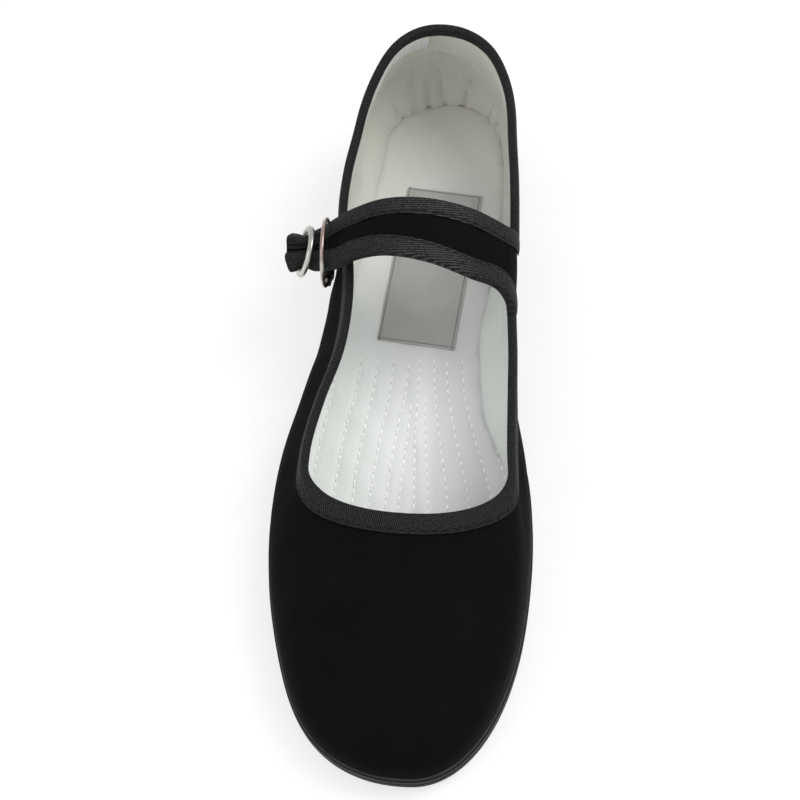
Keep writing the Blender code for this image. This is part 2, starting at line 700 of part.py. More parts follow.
ribs = rib_controls()
build_outsole()
build_upper(ribs)
build_insole()
build_label()
strap_stations = np.linspace(0, 1, STRAP_STATIONS)
strap = strap_frame(ribs, strap_stations)
build_strap(strap)
build_strap_binding("strap_binding_front", strap, -1)
build_strap_binding("strap_binding_rear", strap, 1)
root_y = strap[0][0][1]
root_half = strap[3][0][0] + 2 * CLEARANCE
build_collar_binding(ribs, topline_place(ribs, root_y + root_half), topline_place(ribs, root_y - root_half))
ring_middles = strap_frame(ribs, np.array([INNER_RING_PLACE, OUTER_RING_PLACE]))[0]
inner_middle = ring_middles[0] - (0.0, 0.0, INNER_RING_DROP)
build_ring("ring_inner", inner_middle, INNER_RING_DIAMETER, INNER_RING_WIRE)
build_ring("ring_outer", ring_middles[1], OUTER_RING_DIAMETER, OUTER_RING_WIRE, OUTER_RING_LEAN)
build_ring_tab(ribs, inner_middle)
centre_on_floor()
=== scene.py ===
"""A black velvet cloth shoe for the right foot, with a white cotton lining, a quilted insole and a strap
that crosses the instep and runs out through two nickel rings.

Lengths are in metres. The toe points to -Y, the big toe's side is +X, and the sole stands on z = 0.
"""
import math

import bmesh
import bpy
import numpy as np
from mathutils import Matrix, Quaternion, Vector


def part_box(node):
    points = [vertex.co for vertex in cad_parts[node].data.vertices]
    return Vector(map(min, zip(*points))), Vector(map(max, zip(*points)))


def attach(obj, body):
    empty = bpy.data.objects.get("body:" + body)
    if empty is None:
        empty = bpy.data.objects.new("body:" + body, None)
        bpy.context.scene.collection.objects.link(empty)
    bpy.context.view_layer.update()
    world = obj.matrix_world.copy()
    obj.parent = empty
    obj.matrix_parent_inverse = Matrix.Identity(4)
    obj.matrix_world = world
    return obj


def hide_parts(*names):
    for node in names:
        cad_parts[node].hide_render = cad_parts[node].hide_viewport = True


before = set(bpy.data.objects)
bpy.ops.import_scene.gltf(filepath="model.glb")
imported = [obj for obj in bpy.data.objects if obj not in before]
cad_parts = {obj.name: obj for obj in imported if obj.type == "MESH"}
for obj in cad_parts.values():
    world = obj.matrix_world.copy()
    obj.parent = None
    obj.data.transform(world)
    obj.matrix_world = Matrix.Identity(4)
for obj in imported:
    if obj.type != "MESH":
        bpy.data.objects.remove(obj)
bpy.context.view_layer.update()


def table(columns, *rows):
    """Columns of numbers by name. The first one is the key of a curve."""
    return dict(zip(columns.split(), np.array(rows, float).T))


# Main sizes
SOLE_LENGTH = 0.250
HEEL_WIDTH = 0.0575
BALL_WIDTH = 0.085
HEEL_THICKNESS = 0.014
BALL_THICKNESS = 0.007
TOE_SPRING = 0.0045
ARCH_LIFT = 0.0026
HEEL_HEIGHT = 0.0615  # top of the collar at the back
INSTEP_HEIGHT = 0.0395  # top of the throat at the front
OPENING_LENGTH = 0.1680
OPENING_SETBACK = 0.0064  # from the back of the sole to the back of the collar
OPENING_WIDTH = 0.066  # throat, where it is widest

# Walls and clearances
CLEARANCE = 0.0003
UPPER_WALL = 0.0012
UPPER_SETBACK = 0.0011  # the upper's foot, in from the edge of the sole
INSOLE_THICKNESS = 0.0035
TAPE_THICKNESS = 0.0004
TAPE_WIDTH = 0.0065
COLLAR_TAPE_WIDTH = 0.0058  # outside the collar
TAPE_TURN = 0.0030  # how far the collar's tape comes down inside

# Sole tread
RIM_WIDTH = 0.0055
CHAMFER = 0.0009
GROOVE_WIDTH = 0.0022
GROOVE_DEPTH = 0.0014
GROOVE_PITCH = 0.0068
GROOVE_WALL = 0.0004
PAD_LENGTH = 0.0082  # plain stretch at the heel's and the forefoot's middle

# Strap and rings
STRAP_PLACE = 0.369  # middle of the strap's root, as a share of the sole's length from the heel
STRAP_WIDTH = 0.0195
STRAP_WALL = 0.0016
STRAP_RISE = 0.0155  # arch of the strap over the two toplines
INNER_RING_PLACE = 0.850  # along the strap
INNER_RING_DIAMETER = 0.0230
INNER_RING_WIRE = 0.0014
INNER_RING_DROP = 0.0028  # from the strap's middle down to the ring's
OUTER_RING_PLACE = 0.932
OUTER_RING_DIAMETER = 0.0172
OUTER_RING_WIRE = 0.0021
OUTER_RING_LEAN = math.radians(22.0)
TAB_WIDTH = 0.0060
TAB_THICKNESS = 0.0008
TAB_DEPTH = 0.0062  # from the ring's lower arc down to the tab's sewn end

# Label
LABEL_PLACE = 0.2926
LABEL_SHIFT = -0.0017
LABEL_LENGTH = 0.0588
LABEL_WIDTH = 0.026
LABEL_THICKNESS = 0.0005
LABEL_TURN = math.radians(-7.0)

# The sole's outline, from the back of the heel to the tip of the toe
SOLE = table(
    "along width lateral medial",
    (0.00, HEEL_WIDTH, 0.496, 0.445),
    (0.10, HEEL_WIDTH, 0.496, 0.445),
    (0.20, HEEL_WIDTH, 0.537, 0.470),
    (0.30, HEEL_WIDTH, 0.577, 0.455),
    (0.40, BALL_WIDTH, 0.438, 0.295),
    (0.50, BALL_WIDTH, 0.511, 0.325),
    (0.58, BALL_WIDTH, 0.564, 0.395),
    (0.66, BALL_WIDTH, 0.583, 0.423),
    (0.74, BALL_WIDTH, 0.573, 0.426),
    (0.86, BALL_WIDTH, 0.577, 0.436),
    (1.00, BALL_WIDTH, 0.655, 0.447),
)
# Rounding of an end: share of the length that it takes, and two powers, 2 and 2 for an ellipse
SOLE_HEEL_ROUND = (0.10, 2.0, 2.0)
SOLE_TOE_ROUND = (0.30, 1.9, 2.2)

# The foot bed: shares of heel thickness over ball thickness, of arch lift and of toe spring
BED = table(
    "along heel arch spring",
    (0.00, 1.00, 0.00, 0.00),
    (0.10, 0.98, 0.00, 0.00),
    (0.28, 0.86, 0.00, 0.00),
    (0.36, 0.66, 0.60, 0.00),
    (0.44, 0.42, 1.00, 0.00),
    (0.52, 0.20, 0.50, 0.00),
    (0.60, 0.06, 0.00, 0.00),
    (0.70, 0.00, 0.00, 0.00),
    (0.80, 0.00, 0.00, 0.00),
    (0.90, 0.00, 0.00, 0.32),
    (1.00, 0.00, 0.00, 1.00),
)

# The topline, from the back of the collar to the front of the throat: half widths as shares of the
# opening's width, height as a share of the way from the instep's height to the heel's
TOP = table(
    "along lateral medial height",
    (0.00, 0.320, 0.364, 1.00),
    (0.05, 0.334, 0.377, 0.97),
    (0.10, 0.352, 0.383, 0.83),
    (0.20, 0.392, 0.389, 0.62),
    (0.30, 0.439, 0.409, 0.48),
    (0.40, 0.445, 0.420, 0.40),
    (0.48, 0.403, 0.424, 0.31),
    (0.56, 0.392, 0.420, 0.19),
    (0.66, 0.418, 0.433, 0.07),
    (0.76, 0.494, 0.438, -0.02),
    (0.86, 0.545, 0.445, -0.05),
    (0.93, 0.548, 0.457, -0.03),
    (1.00, 0.548, 0.457, 0.00),
)
TOP_HEEL_ROUND = (0.20, 2.2, 2.2)
TOP_THROAT_ROUND = (0.10, 2.2, 2.2)

# The upper's ribs, from the sole up to the topline: each starts at a share of the way round one side of
# the sole and ends at a share of the way round the topline. It leaves the sole bulging by "out" and
# rising by "rise", and meets the topline from "back" outside it and "drop" below it. Back is a share of
# the rib's reach across the topline in plan, and the other three are shares of its height.
RIBS = table(
    "around top out rise back drop",
    (0.00, 0.000, 0.045, 0.38, 0.55, 0.38),
    (0.12, 0.104, 0.045, 0.38, 0.50, 0.36),
    (0.21, 0.235, 0.050, 0.38, 0.40, 0.34),
    (0.28, 0.335, 0.060, 0.38, 0.38, 0.34),
    (0.35, 0.430, 0.060, 0.40, 0.30, 0.34),
    (0.42, 0.525, 0.060, 0.42, 0.20, 0.34),
    (0.49, 0.615, 0.060, 0.46, 0.14, 0.34),
    (0.56, 0.700, 0.060, 0.50, 0.12, 0.35),
    (0.64, 0.775, 0.060, 0.54, 0.10, 0.35),
    (0.74, 0.835, 0.055, 0.58, 0.20, 0.34),
    (0.83, 0.875, 0.045, 0.60, 0.38, 0.29),
    (0.91, 0.930, 0.030, 0.62, 0.52, 0.25),
    (1.00, 1.000, 0.030, 0.62, 0.55, 0.25),
)

# The side of the sole, from its top edge to its bottom edge: a lip, a groove and a wall. Height is a
# share of the thickness there, and inset is in chamfers.
SOLE_SIDE = table(
    "height inset",
    (1.00, 0.50),
    (0.94, 0.00),
    (0.66, 0.00),
    (0.60, 0.85),
    (0.50, 0.85),
    (0.44, 0.20),
    (0.12, 0.20),
    (0.00, 1.20),
)

# Tread: the stretches of the length that have grooves across, and the middle of the plain pad in each
TREAD = table(
    "start end pad",
    (0.060, 0.275, 0.165),
    (0.575, 0.850, 0.690),
)

# The strap's middle line, from its root on the medial topline to its loose end. "Across" is 0 at the
# root and 1 over the lateral topline, "forward" is a share of the sole's length from the root, and "rise"
# a share of the strap's rise over the two toplines. "Width" is a share of the strap's width, "tilt" of
# the topline's slope at the root, and "fold" of the strap's width, for the height of its two lobes.
STRAP = table(
    "along across forward rise width tilt fold",
    (0.000, 0.000, 0.000, 0.00, 1.42, 1.0, 0.00),
    (0.041, 0.008, -0.002, 0.22, 1.32, 0.8, 0.00),
    (0.110, 0.060, -0.004, 0.56, 1.18, 0.5, 0.00),
    (0.242, 0.245, -0.012, 0.91, 1.24, 0.2, 0.00),
    (0.405, 0.506, -0.026, 1.02, 1.16, 0.0, 0.00),
    (0.567, 0.766, -0.032, 0.92, 1.05, 0.0, 0.00),
    (0.692, 0.942, -0.031, 0.63, 0.97, 0.1, 0.00),
    (0.792, 1.060, -0.028, 0.31, 0.94, 0.3, 0.02),
    (0.854, 1.147, -0.030, 0.03, 0.82, 0.2, 0.05),
    (0.897, 1.212, -0.030, -0.08, 0.74, 0.0, 0.07),
    (0.932, 1.268, -0.030, -0.12, 0.59, 0.0, 0.09),
    (0.966, 1.323, -0.029, -0.14, 0.68, 0.0, 0.09),
    (1.000, 1.379, -0.029, -0.15, 0.72, 0.0, 0.08),
)

# Sizes that only the visual model has
RIBS_A_SIDE = 150
UPPER_ROWS = 56
LINING_ROWS = 64
STRAP_ROUNDS = 150
SOLE_STATIONS = 180
MERGE_DISTANCE = 0.000001
INSOLE_ROUNDS = 240
INSOLE_ACROSS = 112
VELVET_WALL = 0.0008
HALF_ROUND = SOLE_LENGTH * 1.12  # the sole's edge from the heel's back to the toe's tip
TAPE_PUFF = 0.00035
TAPE_GROOVE = 0.00022
GROOVE_SPREAD = 0.00035
STRAP_TAPE_AT = (0.0, 0.84, 0.93, 1.0)  # along the strap, for the share of its half that a tape takes
STRAP_TAPE_SHARE = (0.80, 0.80, 0.93, 0.93)
STITCH_INSET = 0.0010
TAPE_STITCH = (0.0034, 0.0020, 0.00018)  # pitch, length and radius
TAB_STITCH = (0.0012, 0.0009, 0.00018)
LABEL_STITCH = (0.0011, 0.0010, 0.00016)
THREAD_STEP = 0.3  # of a line's own step, on each side of a stitch, to find its direction
BEAD_STATIONS = (-1.0, -0.62, 0.0, 0.62, 1.0)
BEAD_SIDES = 6
STRAP_PILLOW = 0.0005
STRAP_DRAG = 0.00025
ROOT_DROP = 0.0022
TIP_FROM = 0.93  # the strap's end rounds off from this share of its length
TIP_SHORT = 0.0020
TIP_GROOVE = 0.0005
SEAT = 0.0002  # how far a thin piece sinks into the one below it
LINING_WALL = 0.0005
LINING_TAPE_WIDTH = 0.0092
LINING_TAPE_LIFT = 0.0005
LINING_TAPE_FROM = -0.165
LINING_TAPE_TO = -0.042
GATHER_FROM = 0.70
GATHER_PITCH = 0.0052
GATHER_DEPTH = 0.00018
GATHER_RISE = 0.10  # share of the upper's height
CALM_BELOW = 0.16  # share of the height below the topline in which the creases fade
BEAD_RADIUS = 0.00045
BEAD_OUT = 0.0002
EDGE_WAVE = 0.0008
EDGE_DROP = 0.0015
EDGE_SOFT = 0.0012
EDGE_TUCK = 0.0005  # how far the insole's edge goes under the lining's roll
QUILT_DEPTH = 0.00030
QUILT_WIDTH = 0.0011
QUILT_PITCH = 0.0032
QUILT_STITCH = 0.0014
QUILT_THREAD = 0.00036
# Sizes of the grey beads that paint the shade in the insole's stitch holes
HOLE_SHADE_LENGTH = 0.0009
HOLE_SHADE_RADIUS = 0.00022
HOLE_SHADE_SINK = 0.00008
QUILT_END = -0.095
QUILT_FADE = 0.006
QUILT_MARGIN = 0.007
QUILT_Y = (-0.020, -0.010, 0.012, 0.034, 0.095)  # towards the toe
RIDGE_RISE = 0.00080
RIDGE_WIDTH = 0.0022
RIDGE_SHIFT = 0.001  # of the line where the insole's painted light gives way to its painted shade
RIDGE_Y = (-0.014, 0.010, 0.036, 0.060)  # towards the toe
RIDGE_LINE = (-0.0045, -0.0022, 0.0012, 0.0025)
PUCKER_WIDTH = 0.0010
PUCKER_DEPTH = 0.0016
PUCKER_STOP = 0.0002  # the most that a pucker cuts back into the wall
LAP_EDGE = 0.0003
WANDER_LONG = 0.00022
WANDER_SHORT = 0.00016
RUBBER_LINE_PITCH = 0.0007
ROLL_OUT = 0.0046  # how far the lining's foot rolls in over the sole at the heel
ROLL_RISE = 0.0075

# Creases of the velvet. Ends are shares of the way from heel to toe, below 0 on the lateral side, and of
# the height from the sole to the topline. Width and depth are shares of the ball's width.
CREASE_COLUMNS = "from_around from_level to_around to_level width depth"
CREASES = table(
    CREASE_COLUMNS,
    (-0.33, 0.10, -0.36, 0.86, 0.050, -0.0060),
    (-0.36, 0.12, -0.40, 0.84, 0.045, 0.0045),
    (-0.43, 0.10, -0.43, 0.80, 0.055, -0.0060),
    (-0.56, 0.92, -0.50, 0.30, 0.050, -0.0055),
    (-0.66, 0.90, -0.60, 0.35, 0.060, -0.0050),
    (0.36, 0.12, 0.39, 0.84, 0.045, -0.0060),
    (0.42, 0.10, 0.43, 0.80, 0.050, 0.0040),
    (0.48, 0.10, 0.47, 0.82, 0.050, -0.0055),
    (0.60, 0.92, 0.54, 0.30, 0.050, -0.0050),
    (0.70, 0.90, 0.63, 0.40, 0.060, -0.0045),
    (-0.16, 0.12, -0.12, 0.70, 0.060, -0.0035),
    (0.15, 0.12, 0.12, 0.70, 0.060, -0.0035),
    (-0.86, 0.80, -0.80, 0.30, 0.070, -0.0040),
    (0.90, 0.78, 0.84, 0.30, 0.070, -0.0040),
)
LINING_CREASES = table(
    CREASE_COLUMNS,
    (-0.22, 0.20, -0.18, 0.75, 0.035, 0.0080),
    (-0.30, 0.15, -0.34, 0.80, 0.030, 0.0070),
    (-0.41, 0.15, -0.39, 0.80, 0.040, 0.0080),
    (0.20, 0.20, 0.17, 0.75, 0.035, 0.0080),
    (0.31, 0.15, 0.35, 0.80, 0.030, 0.0070),
    (0.44, 0.15, 0.42, 0.80, 0.040, 0.0080),
    (0.53, 0.15, 0.55, 0.75, 0.035, 0.0070),
    (0.04, 0.60, -0.05, 0.66, 0.030, 0.0060),
)
# Puckers of the lining where it meets the insole at the heel. Place is a share of the way from heel to
# toe, lean is sideways for each length up, reach a share of the heel's height, and the other two are
# shares of the pucker's width and depth.
PUCKERS = table(
    "place lean reach width depth",
    (-0.076, -0.22, 0.36, 1.0, 0.9),
    (-0.050, 0.05, 0.62, 1.1, 1.0),
    (-0.026, 0.02, 0.32, 0.8, 0.8),
    (-0.003, -0.20, 0.66, 1.2, 1.0),
    (0.031, 0.28, 0.66, 1.1, 1.0),
    (0.078, 0.00, 0.48, 0.9, 0.9),
    (0.099, -0.18, 0.40, 0.9, 0.9),
)
# The lining's roll over the sole's edge, as shares of it by the way from heel to toe
ROLL_AROUND = (-0.80, -0.45, -0.28, -0.10, 0.00, 0.06, 0.16, 0.30, 0.40, 0.50, 0.58, 0.70, 0.90)
ROLL_SHARE = (0.30, 0.55, 1.05, 1.50, 1.30, 0.95, 0.45, 0.75, 1.45, 1.45, 0.95, 0.60, 0.30)
# Lapped seams of the lining's heel piece: place and lean as above, and the step
LAPS = table(
    "place lean drop",
    (-0.125, 0.55, 0.00035),
    (0.120, -0.45, 0.00030),
)
# Rows of stitches in the insole: how far across they lie, as shares of the ball's width, at the waist,
# halfway, at the throat and at the toe, and where they start, in metres
QUILT = table(
    "waist middle throat toe start",
    (-0.370, -0.412, -0.441, -0.420, 0.020),
    (-0.273, -0.327, -0.345, -0.330, 0.020),
    (-0.207, -0.253, -0.274, -0.262, 0.019),
    (-0.144, -0.182, -0.208, -0.200, 0.020),
    (-0.082, -0.124, -0.146, -0.140, 0.018),
    (-0.058, -0.076, -0.095, -0.085, 0.003),
    (-0.040, -0.044, -0.032, -0.026, 0.020),
    (-0.018, -0.002, 0.027, 0.034, 0.006),
    (0.016, 0.055, 0.102, 0.098, 0.020),
    (0.064, 0.120, 0.189, 0.170, 0.019),
    (0.125, 0.196, 0.278, 0.245, 0.020),
    (0.198, 0.267, 0.353, 0.315, 0.020),
)

# Camera and light
CAMERA_PLACE = (0.0427, -0.2739, 0.5844)
PHOTO_AIM = (0.03375, 0.01057, 0.0)  # the point of the floor at the middle of the photo
LENS_PIXELS = 1923.0
IMAGE_PIXELS = 800
SENSOR = 0.036
LIGHT_AIM = (0.0, 0.0, 0.02)
FLOOR_GLOW = 0.60  # keeps the shadow on the white floor faint
SHOE_OFF_CENTRE = 131  # pixels from the shoe's middle to the photo's

Y_BACK = SOLE_LENGTH / 2
TAPE_OUT = CLEARANCE + TAPE_THICKNESS
COLLAR_TAPE_UNDER = TAPE_WIDTH * 0.6  # how far the collar's tape runs under the strap's edges
SIDES = (("medial", 1), ("lateral", -1))
UP = np.array([0.0, 0.0, 1.0])


def curve(rows, name, at, level=False):
    """A smooth curve through one column of a table; with level it never passes beyond its rows."""
    key = next(iter(rows.values()))
    value = rows[name]
    slope = np.gradient(value, key)
    if level:
        rise = np.diff(value) / np.diff(key)
        before = np.concatenate([[0.0], rise])
        after = np.concatenate([rise, [0.0]])
        agree = before * after > 0
        slope = np.where(agree, 2 * before * after / np.where(agree, before + after, 1.0), 0.0)
    at = np.asarray(at, float)
    i = np.clip(np.searchsorted(key, at, side="right") - 1, 0, len(key) - 2)
    span = key[i + 1] - key[i]
    f = (at - key[i]) / span
    return (
        value[i] * (2 * f**3 - 3 * f**2 + 1)
        + value[i + 1] * (3 * f**2 - 2 * f**3)
        + span * slope[i] * (f**3 - 2 * f**2 + f)
        + span * slope[i + 1] * (f**3 - f**2)
    )


def rounding(along, heel, toe):
    """Shrinks half widths to nothing at both ends of an outline."""
    shrink = np.ones_like(along)
    for distance, (share, inner, outer) in ((along, heel), (1 - along, toe)):
        near = distance < share
        left = np.maximum(0, 1 - ((share - distance[near]) / share) ** inner)
        shrink[near] = left ** (1 / outer)
    return shrink


def unit(vectors):
    return vectors / np.maximum(np.linalg.norm(vectors, axis=-1, keepdims=True), 1e-12)


def running(steps):
    """Distances from the start of a line, from the lengths of its steps."""
    return np.concatenate([[0.0], np.cumsum(steps)])


def eased(count):
    """Stations from 0 to 1 that crowd towards both ends."""
    return 0.5 * (1 - np.cos(math.pi * np.linspace(0, 1, count)))


def turns(count):
    """Angles all the way round."""
    return np.linspace(0, 2 * math.pi, count, endpoint=False)


def bump_at(distance, width):
    """A soft bump of height 1, by the distance from its middle."""
    return np.exp(-((distance / width) ** 2))


def clipped(value):
    """A share kept from 0 to 1."""
    return np.clip(value, 0, 1)


def at_y(line, y, k=0):
    """Column k of a line of points that runs to the toe, where the line passes y."""
    return np.interp(-y, -line[:, 1], line[:, k])


def outward(ring):
    """The outward normals in plan of a ring of points that runs anticlockwise from above."""
    step = np.roll(ring, -1, axis=0) - np.roll(ring, 1, axis=0)
    return unit(np.stack([step[:, 1], -step[:, 0]], axis=1))


# Form of the shoe


def sole_sides(along):
    """Points of the sole's outline on the medial and lateral sides."""
    shrink = rounding(along, SOLE_HEEL_ROUND, SOLE_TOE_ROUND)
    y = Y_BACK - SOLE_LENGTH * along
    sides = []
    for name, sign in SIDES:
        half = curve({"along": SOLE["along"], name: SOLE["width"] * SOLE[name]}, name, along)
        sides.append(np.stack([sign * half * shrink, y], axis=1))
    return sides


def top_sides(along):
    """Points of the topline on the medial and lateral sides, with their heights."""
    shrink = rounding(along, TOP_HEEL_ROUND, TOP_THROAT_ROUND)
    y = Y_BACK - OPENING_SETBACK - OPENING_LENGTH * along
    z = INSTEP_HEIGHT + (HEEL_HEIGHT - INSTEP_HEIGHT) * curve(TOP, "height", along)
    sides = []
    for name, sign in SIDES:
        half = OPENING_WIDTH * curve(TOP, name, along)
        sides.append(np.stack([sign * half * shrink, y, z], axis=1))
    return sides


def by_length(points, shares):
    """Points at shares of the way along a line of points, measured in plan."""
    length = running(np.linalg.norm(np.diff(points[:, :2], axis=0), axis=1))
    return np.stack([np.interp(shares * length[-1], length, values) for values in points.T], axis=1)


def ring_of(sides, shares):
    """A ring down the medial side and back up the lateral side, running anticlockwise from above."""
    medial, lateral = (by_length(side, shares) for side in sides)
    return np.concatenate([medial, lateral[-2:0:-1]])[::-1]


def bed(name, y):
    return curve(BED, name, clipped((Y_BACK - y) / SOLE_LENGTH), level=True)


def bed_top(y):
    heel = (HEEL_THICKNESS - BALL_THICKNESS) * bed("heel", y)
    return BALL_THICKNESS + heel + TOE_SPRING * bed("spring", y)


def bed_bottom(y):
    return ARCH_LIFT * bed("arch", y) + TOE_SPRING * bed("spring", y)


def insole_top(y):
    return bed_top(y) + CLEARANCE + INSOLE_THICKNESS


def rib_controls():
    """Four control points for each of the upper's ribs, in a ring."""
    fine = eased(1201)
    shares = np.linspace(0, 1, RIBS_A_SIDE + 1)
    mirrored = np.concatenate([shares, shares[-2:0:-1]])[::-1]
    out, rise, back, drop = (curve(RIBS, name, mirrored)[:, None] for name in list(RIBS)[2:])
    foot = ring_of(sole_sides(fine), shares)
    top = ring_of(top_sides(fine), curve(RIBS, "top", shares, level=True))
    foot_normal = outward(foot)
    foot = foot - UPPER_SETBACK * foot_normal
    foot = np.column_stack([foot, bed_top(foot[:, 1]) + CLEARANCE])
    height = (top[:, 2] - foot[:, 2])[:, None]
    foot_out = np.column_stack([foot_normal, np.zeros(len(foot))])
    top_out = np.column_stack([outward(top[:, :2]), np.zeros(len(top))])
    reach = np.maximum(0, ((foot - top) * top_out).sum(axis=1))[:, None]
    leave = foot + foot_out * out * height + UP * rise * height
    arrive = top + top_out * back * reach - UP * drop * height
    return np.stack([foot, leave, arrive, top], axis=1)


def skin(levels, offset=0.0, controls=None):
    """Points of the upper's outer skin at levels from the foot, 0, to the topline, 1, moved out by offset."""
    controls = ribs if controls is None else controls
    levels = np.broadcast_to(levels, (len(controls), np.shape(levels)[-1]))[..., None]
    rest = 1 - levels
    mixed = 6 * rest * levels
    weights = np.concatenate([rest**3, 3 * rest**2 * levels, 3 * rest * levels**2, levels**3], axis=-1)
    slopes = [-3 * rest**2, 3 * rest**2 - mixed, mixed - 3 * levels**2, 3 * levels**2]
    turn = np.roll(controls, -1, axis=0) - np.roll(controls, 1, axis=0)
    normal = unit(np.cross(weights @ turn, np.concatenate(slopes, axis=-1) @ controls))
    return weights @ controls + offset * normal


def levels_below(distance):
    """The level of each rib that lies this distance down from the topline."""
    fine = np.linspace(1, 0, 81)
    steps = np.linalg.norm(np.diff(skin(fine), axis=1), axis=2)
    return np.array([np.interp(distance, running(row), fine) for row in steps])[:, None]


def rib_lengths():
    """The length of each rib's control polygon, as a measure of the upper's height there."""
    return np.linalg.norm(np.diff(ribs, axis=1), axis=2).sum(axis=1)[:, None]


def inset_sides(along, inset):
    """The sole's outline moved inwards, as medial and lateral points at the same stations."""
    medial, lateral = sole_sides(along)
    ring = np.concatenate([medial, lateral[-2:0:-1]])[::-1]
    moved = (ring - inset * outward(ring))[::-1]
    count = len(along)
    return moved[:count], np.concatenate([moved[:1], moved[:count - 2:-1]])


def tread_stations():
    """Stations along the sole, with True where a groove is cut."""
    half = GROOVE_WIDTH / SOLE_LENGTH / 2
    wall = GROOVE_WALL / SOLE_LENGTH
    cuts = []
    for start, end, pad in zip(*TREAD.values()):
        number = int((end - start) * SOLE_LENGTH / GROOVE_PITCH)
        for middle in start + (np.arange(number) + 0.5) * (end - start) / number:
            if abs(middle - pad) > PAD_LENGTH / 2 / SOLE_LENGTH:
                cuts.append(middle)
    cut = np.array(cuts)
    outer = half + wall
    edges = [(cut - outer, False), (cut - half, True), (cut + half, True), (cut + outer, False)]
    stations = [(place, deep) for places, deep in edges for place in places]
    for place in eased(SOLE_STATIONS):
        if np.abs(cut - place).min() > outer + wall:
            stations.append((place, False))
    places, deep = zip(*sorted(stations))
    return np.array(places), np.array(deep)


def between(ring, places):
    """Rows of the ring, each a mix of the two beside a place between them."""
    rows = []
    for place in places:
        low = int(math.floor(place))
        share = place - low
        rows.append(ring[low % len(ring)] * (1 - share) + ring[(low + 1) % len(ring)] * share)
    return np.stack(rows)


def place_of(around):
    """The ring's place at a share of the way from heel to toe, below 0 on the lateral side."""
    if around < 0:
        return -around * RIBS_A_SIDE - 1
    return 2 * RIBS_A_SIDE - 1 - around * RIBS_A_SIDE


def around_ring():
    """The signed share of the way from heel to toe of each rib."""
    places = np.arange(2 * RIBS_A_SIDE)
    lateral = -(places + 1) / RIBS_A_SIDE
    medial = (2 * RIBS_A_SIDE - 1 - places) / RIBS_A_SIDE
    return np.where(places < RIBS_A_SIDE - 1, lateral, medial)[:, None]


def topline_place(y):
    """Where the medial topline passes y, as a place between the ribs' numbers."""
    toe = RIBS_A_SIDE - 1
    heel = 2 * RIBS_A_SIDE
    return np.interp(y, ribs[toe:heel, 3, 1], np.arange(toe, heel))


def strap_frame(along):
    """Centre, direction to the heel, upward normal, half width and fold of the strap along its length."""
    across, forward, rise, width, tilt, fold = (curve(STRAP, name, along) for name in list(STRAP)[1:])
    y_root = Y_BACK - SOLE_LENGTH * STRAP_PLACE
    half = STRAP_WIDTH * width / 2
    root_half = STRAP_WIDTH * STRAP["width"][0] / 2
    front, root, rear = between(ribs[:, 3], topline_place(y_root + root_half * np.array([-1, 0, 1])))
    crossing = np.interp(1.0, STRAP["across"], STRAP["along"])
    y_over = y_root - SOLE_LENGTH * curve(STRAP, "forward", crossing)
    x_over, z_over = (at_y(ribs[: RIBS_A_SIDE - 1, 3], y_over, k) for k in (0, 2))
    x_root = root[0] - UPPER_WALL / 2
    x = x_root + (x_over + UPPER_WALL / 2 - x_root) * across
    base = (front[2] + rear[2]) / 2 + 1.5 * CLEARANCE
    z = base + (z_over - base) * clipped(across) + STRAP_RISE * rise
    centre = np.column_stack([x, y_root - SOLE_LENGTH * forward, z])
    slope = (rear[2] - front[2]) / (rear[1] - front[1]) * tilt
    to_heel = unit(np.column_stack([np.zeros(len(along)), np.ones(len(along)), slope]))
    normal = unit(np.cross(to_heel, np.gradient(centre, axis=0)))
    return centre, to_heel, normal, half[:, None], (STRAP_WIDTH * fold)[:, None]


def wall_x(y, heights):
    """How far out the upper's lateral side lies at y and at some heights."""
    points = skin(np.linspace(0, 1, 41), controls=ribs[: RIBS_A_SIDE - 1])
    found = []
    for height in heights:
        line = np.array([[np.interp(height, rib[:, 2], rib[:, k]) for k in (0, 1)] for rib in points])
        found.append(at_y(line, y))
    return np.array(found)


# Meshes and pieces


def add(name, data):
    made = bpy.data.objects.new(name, data)
    bpy.context.scene.collection.objects.link(made)
    return made


def piece(mesh, slot, finish, *nodes):
    """An object that rides on the shoe, and stands for these CAD nodes."""
    made = add(mesh.name, mesh)
    mesh.materials.append(finish)
    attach(made, "root")
    if nodes:
        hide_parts(*nodes)


def quads(rows, columns, ring=False):
    """The faces between rows of points, each row a loop, with the row and column of each face."""
    i, j = np.meshgrid(np.arange(rows if ring else rows - 1), np.arange(columns), indexing="ij")
    down = (i + 1) % rows
    over = (j + 1) % columns
    corners = [i * columns + j, i * columns + over, down * columns + over, down * columns + j]
    return np.stack(corners, axis=-1).reshape(-1, 4), i, j


def lengths(points, axis, wrap):
    """Mean distance along one axis of a grid, with the closing step at the end where it wraps."""
    if wrap:
        points = np.concatenate([points, points.take([0], axis=axis)], axis=axis)
    return running(np.linalg.norm(np.diff(points, axis=axis), axis=-1).mean(axis=1 - axis))


